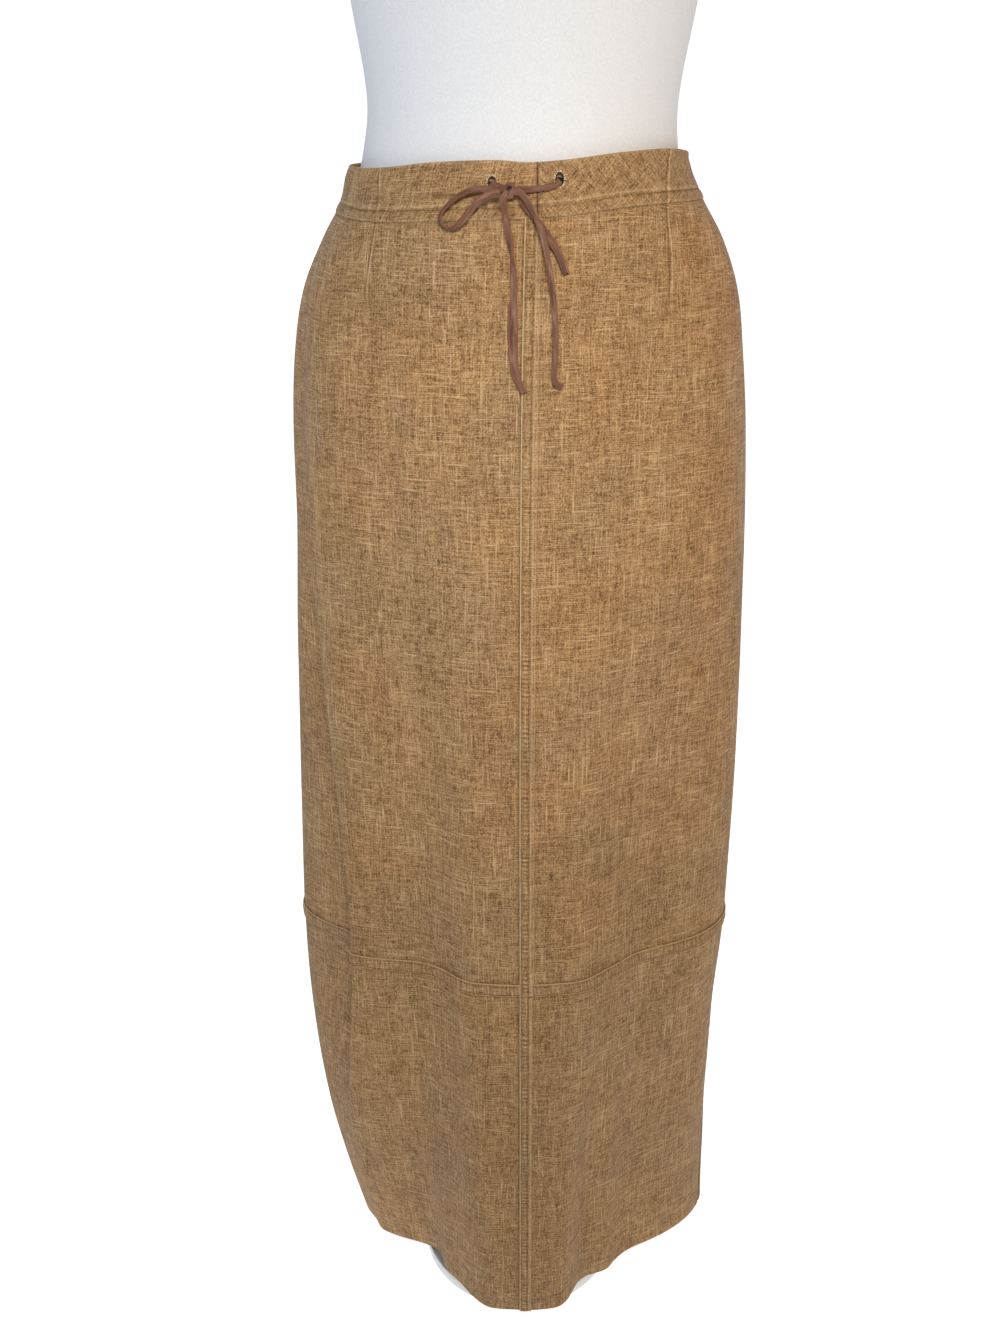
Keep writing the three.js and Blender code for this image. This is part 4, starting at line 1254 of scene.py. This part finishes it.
def add_node(tree, kind, inputs=None, **settings):
    """A node with its settings, and its inputs set or linked to a socket or a node's first output."""
    made = tree.nodes.new(kind)
    for key, value in settings.items():
        setattr(made, key, value)
    for key, value in (inputs or {}).items():
        if isinstance(value, bpy.types.Node):
            value = value.outputs[0]
        if isinstance(value, bpy.types.NodeSocket):
            tree.links.new(value, made.inputs[key])
        else:
            made.inputs[key].default_value = value
    return made


def colour_ramp(tree, value, *stops):
    """A ramp through stops, each a place from 0 to 1 and a hex colour."""
    ramp = add_node(tree, "ShaderNodeValToRGB", {"Fac": value})
    elements = ramp.color_ramp.elements
    for end, (place, colour) in zip(elements, (stops[0], stops[-1])):
        end.position = place
        end.color = linear(colour)
    for place, colour in stops[1:-1]:
        elements.new(place).color = linear(colour)
    return ramp


def blend(tree, factor, under, over, how="MIX"):
    """The colour of over laid on under by a factor."""
    colours = {0: factor, 6: under, 7: over}
    return add_node(tree, "ShaderNodeMix", colours, data_type="RGBA", blend_type=how).outputs[2]


def scaled_plus(tree, value, times, plus):
    """A value times a share, plus another value."""
    return add_node(tree, "ShaderNodeMath", {0: value, 1: times, 2: plus}, operation="MULTIPLY_ADD")


def new_material(name, colour, roughness, **sockets):
    """A principled material whose constant values sit on the shader's own sockets."""
    material = bpy.data.materials.new(name)
    material.use_nodes = True
    shader = material.node_tree.nodes["Principled BSDF"]
    shader.inputs["Base Color"].default_value = linear(colour)
    shader.inputs["Roughness"].default_value = roughness
    for key, value in sockets.items():
        shader.inputs[key.replace("_", " ")].default_value = value
    return material, material.node_tree, shader


def give(material, *pieces):
    """Lay one material on pieces, in place of any that they have."""
    for piece in pieces:
        piece.data.materials.clear()
        piece.data.materials.append(material)


# %% [markdown]
# The skirt is a plain weave of slubbed linen-like yarn: warp runs up the panel, weft runs across, and each
# yarn swells and thins and has its own shade of tan. A light yarn here and there runs on for centimetres.
# The real threads are about 0.6 mm apart, near the size of a pixel of this view, so they are drawn 0.85 mm
# apart to show. Noise that is stretched along each yarn gives it slubs and tone, and wider noise gives
# the cloth its streaks and patches. Ridges are painted paler, partly as wear and partly as painted
# highlight, and grooves and seams are painted darker as painted shade.

# %% Linen
THREAD = 0.85
SLUB = 9.0
WANDER = 45.0
WANDER_BY = 2.4
LINEN = {"gap": "62472a", "shade": "93724b", "yarn": "a8845a", "light": "cba97b", "slub": "e2c698"}
# Fields of noise: size across and up in millimetres, a place of their own in the noise, and its detail
FIELDS = {
    "warp": (THREAD, SLUB, (0, 0, 0.5), 1.5),
    "weft": (SLUB, THREAD, (0, 0, 7.5), 1.5),
    "warp_slub": (THREAD, 26, (3, 5, 3.5), 0.0),
    "weft_slub": (17, THREAD, (9, 2, 5.5), 0.0),
    "grain": (THREAD, THREAD, (1, 4, 9.5), 1.0),
    "streak": (6, 140, (2, 8, 2.5), 2.0),
    "patch": (30, 36, (6, 1, 8.5), 2.0),
    "hue": (70, 80, (4, 7, 6.5), 1.0),
}
GRAIN_SHARE = 1.5
STREAK_SHARE = 0.25
PATCH_SHARE = 0.12
SHADES = {"From Min": 1.53, "From Max": 2.4}
SLUBS = {"From Min": 0.84, "From Max": 0.98}
RIDGE_RUB_AND_HIGHLIGHT = {"To Max": 0.6}
GROOVE_SHADE = {"From Min": -1.0, "From Max": 0.0, "To Min": 0.85, "To Max": 0.0}


def linen(name, colours, slub_share):
    """A woven cloth of five yarn colours, in which a share of the slubs shows light."""
    sheen = {"Sheen_Weight": 0.05, "Sheen_Roughness": 0.45}
    material, tree, shader = new_material(name, colours["yarn"], 0.9, **sheen)
    uv = add_node(tree, "ShaderNodeUVMap", uv_map="cloth_mm")
    wander = add_node(tree, "ShaderNodeTexNoise", {"Vector": uv, "Scale": 1 / WANDER, "Detail": 1.0})
    moved = {0: wander.outputs["Color"], 1: (WANDER_BY, WANDER_BY, 0), 2: uv}
    thread = add_node(tree, "ShaderNodeVectorMath", moved, operation="MULTIPLY_ADD")
    fields = {}
    for part, (across, up, place, detail) in FIELDS.items():
        placed = {"Vector": thread, "Scale": (1 / across, 1 / up, 1), "Location": place}
        place_at = add_node(tree, "ShaderNodeMapping", placed)
        noise = {"Vector": place_at, "Scale": 1.0, "Detail": detail}
        fields[part] = add_node(tree, "ShaderNodeTexNoise", noise)
    yarn = add_node(tree, "ShaderNodeMath", {0: fields["warp"], 1: fields["weft"]}, operation="ADD")
    grained = scaled_plus(tree, fields["grain"], GRAIN_SHARE, yarn)
    streaked = scaled_plus(tree, fields["streak"], STREAK_SHARE, grained)
    patched = scaled_plus(tree, fields["patch"], PATCH_SHARE, streaked)
    shade = add_node(tree, "ShaderNodeMapRange", {"Value": patched, **SHADES})
    stops = ((0.0, "gap"), (0.3, "shade"), (0.58, "yarn"), (1.0, "light"))
    ramp = colour_ramp(tree, shade, *((place, colours[part]) for place, part in stops))
    both = {0: fields["warp_slub"], 1: fields["weft_slub"]}
    lighter = add_node(tree, "ShaderNodeMath", both, operation="MAXIMUM")
    where = scaled_plus(tree, fields["patch"], 0.3, lighter)
    slubs = add_node(tree, "ShaderNodeMapRange", {"Value": where, "To Max": slub_share, **SLUBS})
    slubbed = blend(tree, slubs, ramp, linear(colours["slub"]))
    tint = colour_ramp(tree, fields["hue"], (0.35, "f8f9f8"), (0.65, "fff9ef"))
    tinted = blend(tree, 1.0, slubbed, tint, "MULTIPLY")
    # Ridges are painted towards the slub colour, partly wear and partly painted highlight
    rub_highlight_and_shade = add_node(tree, "ShaderNodeAttribute", attribute_name="rub_highlight_and_shade").outputs["Fac"]
    pale = add_node(tree, "ShaderNodeMapRange", {"Value": rub_highlight_and_shade, **RIDGE_RUB_AND_HIGHLIGHT})
    paled = blend(tree, pale, tinted, linear(colours["slub"]))
    # Grooves and seams are painted towards the gap colour as painted shade
    deep = add_node(tree, "ShaderNodeMapRange", {"Value": rub_highlight_and_shade, **GROOVE_SHADE})
    with_groove_shade = blend(tree, deep, paled, linear(colours["gap"]))
    tree.links.new(with_groove_shade, shader.inputs["Base Color"])
    height = add_node(tree, "ShaderNodeMath", {0: slubs, 1: grained}, operation="ADD")
    bump = add_node(tree, "ShaderNodeBump", {"Height": height, "Strength": 0.6, "Distance": 0.3 * MM})
    tree.links.new(bump.outputs[0], shader.inputs["Normal"])
    return material


cloth_finish = linen("slubbed_linen", LINEN, 0.5)
bias_finish = linen("bias_cut_linen", LINEN, 0.15)
cloth_pieces = [made for made, _ in [*panels.values(), *strips.values(), *bands.values()]]
give(cloth_finish, *cloth_pieces)
give(bias_finish, bands["waistband_front_right"][0])
print("linen given to", len(cloth_pieces), "pieces")

# %% [markdown]
# The lace is suede, cut from split hide and left unfinished. Its colour is painted in patches along its
# length, from the red browns of its nap to a cool mauve that is a painted sheen, where flat fibres would
# catch the light, and its cut edges show a warmer brown.

# %% Suede
NAP = 19.0
# The top, mauve stop is painted sheen; the browns below it are the suede's own tones
NAP_AND_SHEEN_STOPS = ((0.3, "4a2e20"), (0.46, "6f4a33"), (0.56, "7c5845"), (0.7, "927263"))
CUT_EDGE = {"From Min": 1.6, "From Max": 2.1, "To Max": 0.85}
suede, tree, shader = new_material("suede", "6f4634", 0.7, Sheen_Weight=0.1, Sheen_Roughness=0.4)
uv = add_node(tree, "ShaderNodeUVMap", uv_map="cloth_mm")
placed = {"Vector": uv, "Scale": (0.35, 1 / NAP, 1), "Location": (0, 3, 0)}
along = add_node(tree, "ShaderNodeMapping", placed)
nap = add_node(tree, "ShaderNodeTexNoise", {"Vector": along, "Scale": 1.0, "Detail": 3.0, "Roughness": 0.6})
ramp = colour_ramp(tree, nap, *NAP_AND_SHEEN_STOPS)
axes = add_node(tree, "ShaderNodeSeparateXYZ", {"Vector": uv})
from_middle = add_node(tree, "ShaderNodeMath", {0: axes.outputs["X"]}, operation="ABSOLUTE")
edge = add_node(tree, "ShaderNodeMapRange", {"Value": from_middle, **CUT_EDGE})
tree.links.new(blend(tree, edge, ramp, linear("854d2c")), shader.inputs["Base Color"])
fibres = add_node(tree, "ShaderNodeTexNoise", {"Vector": uv, "Scale": 1.8, "Detail": 3.0})
bump = add_node(tree, "ShaderNodeBump", {"Height": fibres, "Strength": 0.5, "Distance": 0.25 * MM})
tree.links.new(bump.outputs[0], shader.inputs["Normal"])
give(suede, lace_left, lace_right, loop_left, loop_right, knot)
print("suede on", len(lace_lines) + 1, "pieces")

# %% [markdown]
# Small finishes: polyester sewing thread, a little lighter than the cloth and slightly glossy; near-black
# painted shade in the casing and the knot, and a dark eyelet cord that is partly painted shade at the rims;
# matt jersey with its fine knit; and powder coat with its faint orange peel.

# %% Thread, painted shade, jersey and powder coat
def speckled(name, colours, roughness, size, bump_by, stretch=(1, 1, 1), **sockets):
    """A finish whose two near colours and relief follow a fine noise of a size in millimetres."""
    material, tree, shader = new_material(name, colours[0], roughness, **sockets)
    place = add_node(tree, "ShaderNodeTexCoord")
    at = add_node(tree, "ShaderNodeMapping", {"Vector": place.outputs["Object"], "Scale": stretch})
    noise = add_node(tree, "ShaderNodeTexNoise", {"Vector": at, "Scale": 1 / (size * MM), "Detail": 2.0})
    ramp = colour_ramp(tree, noise, (0.35, colours[0]), (0.65, colours[1]))
    tree.links.new(ramp.outputs[0], shader.inputs["Base Color"])
    bump = add_node(tree, "ShaderNodeBump", {"Height": noise, "Strength": 0.4, "Distance": bump_by * MM})
    tree.links.new(bump.outputs[0], shader.inputs["Normal"])
    return material


thread_finish = speckled("polyester_thread", ("a17b4e", "c9a675"), 0.55, 1.4, 0.05)
eyelet_finish = speckled("buttonhole_twist", ("cbb18a", "f0e3c6"), 0.5, 0.9, 0.05)
# Dark brown, partly the cord's own colour and partly painted shade at the eyelets' rims
rim_cord_and_shade_finish = speckled("dark_rim_cord_and_shade", ("3a2a1c", "5c452c"), 0.7, 0.8, 0.05)
# Near black, as painted shade inside the casing and the knot
painted_shade_finish = speckled("casing_painted_shade", ("1f150d", "2d2015"), 0.95, 1.0, 0.1)
jersey = speckled("stretched_jersey", ("e5e9ed", "eff1f3"), 0.9, 1.1, 0.12, (1, 1, 0.7), Sheen_Weight=0.1)
powder_coat = speckled("powder_coat", ("f0f0ee", "f4f4f2"), 0.45, 1.6, 0.05)
give(thread_finish, *seam_threads)
give(eyelet_finish, *eyelet_threads[0::2])
give(rim_cord_and_shade_finish, *eyelet_threads[1::2])
give(painted_shade_finish, *painted_shades)
give(jersey, torso, stand[0])
give(powder_coat, *stand[1:])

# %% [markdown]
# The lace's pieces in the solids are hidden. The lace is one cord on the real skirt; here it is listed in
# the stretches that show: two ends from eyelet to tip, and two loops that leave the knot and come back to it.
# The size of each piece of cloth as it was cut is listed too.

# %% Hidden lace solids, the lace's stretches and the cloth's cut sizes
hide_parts("lace_stub_left", "lace_tail_left")
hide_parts("lace_stub_right", "lace_tail_right")
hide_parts("lace_loop_left")
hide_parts("lace_loop_right")
LACE = {
    lace_left: ("bare", [knot]),
    lace_right: ("bare", []),
    loop_left: ("object", []),
    loop_right: ("object", []),
}
for piece, (far_end, on_it) in LACE.items():
    line = lace_lines[piece]
# Each piece of cloth as it was cut, in millimetres across and up, without its seam allowances
CUTS = {
    "front_left_upper": (238, 596),
    "front_right_upper": (231, 604),
    "back_right_upper": (229, 606),
    "back_left_upper": (237, 602),
    "front_left_lower": (242, 346),
    "front_right_lower": (233, 344),
    "back_right_lower": (239, 344),
    "back_left_lower": (241, 345),
    "centre_front_fell_upper": (11.4, 596),
    "centre_front_fell_lower": (10.4, 344),
    "yoke_fell_front_left": (264, 11.5),
    "yoke_fell_front_right": (229, 11.5),
    "yoke_fell_back_right": (238, 11.5),
    "yoke_fell_back_left": (250, 11.5),
    "waistband_front_left": (190, 35.6),
    "waistband_front_right": (169, 34.6),
    "waistband_back_right": (166, 32.8),
    "waistband_back_left": (175, 32.6),
}
every_cloth = {**panels, **strips, **bands}
for node, (wide, long) in CUTS.items():
    piece = every_cloth[node][0]
    if node in bands:
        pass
    elif node in panels:
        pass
    else:
        side = "front_right" if node.startswith("centre") else node.removeprefix("yoke_fell_")
print("declared", len(LACE), "cords and", len(CUTS), "sheets")

# %% [markdown]
# The studio is a sweep of white acrylic whose own material glows, floor and wall in one curve, so the skirt
# stands on plain white without a horizon. Its glow also gives the soft light from all around. A softbox
# over the camera lights the waist more than the hem; a cool window is on the left, a warm lamp on the right.
# The glow is painted on as emission that fades a little in front of the stand, out of view.

# %% Acrylic sweep
# Metres: width, near edge, far edge, and height of the wall
SWEEP = (9.0, -4.0, 3.2, 5.0)
SWEEP_CURVE = 1.6
wide, near, far, high = SWEEP
bpy.ops.mesh.primitive_plane_add(size=1, location=(0, 0, 0))
sweep = bpy.context.object
sweep.name = "acrylic_sweep"
bpy.ops.object.mode_set(mode="EDIT")
bpy.ops.transform.resize(value=(wide, far - near, 1))
bpy.ops.transform.translate(value=(0, (far + near) / 2, 0))
bpy.ops.mesh.select_all(action="DESELECT")
bpy.ops.object.mode_set(mode="OBJECT")
for edge in sweep.data.edges:
    edge.select = all(sweep.data.vertices[v].co.y > far - 0.01 for v in edge.vertices)
bpy.ops.object.mode_set(mode="EDIT")
bpy.ops.mesh.select_mode(type="EDGE")
bpy.ops.mesh.extrude_region_move(TRANSFORM_OT_translate={"value": (0, 0, high)})
bpy.ops.object.mode_set(mode="OBJECT")
fold = sweep.modifiers.new("fold", "BEVEL")
fold.width = SWEEP_CURVE
fold.segments = 24
bpy.ops.object.modifier_apply(modifier="fold")
sweep.data.shade_smooth()
sweep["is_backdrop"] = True
GLOW = {"From Min": -0.75, "From Max": -0.2, "To Min": 0.48, "To Max": 0.82}
acrylic, tree, glow = new_material("glowing_acrylic", "f4f4f4", 0.8)
glow.inputs["Emission Color"].default_value = linear("ffffff")
place = add_node(tree, "ShaderNodeTexCoord")
axes = add_node(tree, "ShaderNodeSeparateXYZ", {"Vector": place.outputs["Object"]})
ahead = {"Value": axes.outputs["Y"], **GLOW}
fading = add_node(tree, "ShaderNodeMapRange", ahead, interpolation_type="SMOOTHSTEP")
tree.links.new(fading.outputs[0], glow.inputs["Emission Strength"])
give(acrylic, sweep)

# %% Light
world = bpy.data.worlds.new("studio")
bpy.context.scene.world = world
world.use_nodes = True
world.node_tree.nodes["Background"].inputs["Color"].default_value = linear("eaf1ff")
world.node_tree.nodes["Background"].inputs["Strength"].default_value = 0.1
bpy.context.scene.view_settings.view_transform = "Standard"


def area_light(name, place, aim, size, power, colour, spread):
    """A soft light of a size in metres and a power in watts, turned to its aim."""
    bpy.ops.object.light_add(type="AREA", location=place)
    light = bpy.context.object
    light.name = name
    light.data.shape = "RECTANGLE"
    light.data.size, light.data.size_y = size
    light.data.energy = power
    light.data.color = linear(colour)[:3]
    light.data.spread = math.radians(spread)
    light.rotation_euler = (Vector(aim) - Vector(place)).to_track_quat("-Z", "Y").to_euler()


area_light("window_left", (-1.7, -0.9, 1.7), (0, 0, 0.92), (0.7, 0.7), 1.4, "c0daff", 80)
area_light("lamp_right", (1.7, -0.9, 1.6), (0, 0, 0.88), (0.6, 0.6), 1.1, "ffc88e", 80)
area_light("softbox", (0.1, -1.35, 1.65), (0, 0, 0.72), (0.6, 0.35), 1.85, "fff8ee", 52)

# %% The visual box of the dressed part
lowest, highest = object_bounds()
print("visual box", [round(v, 4) for v in (*lowest, *highest)])
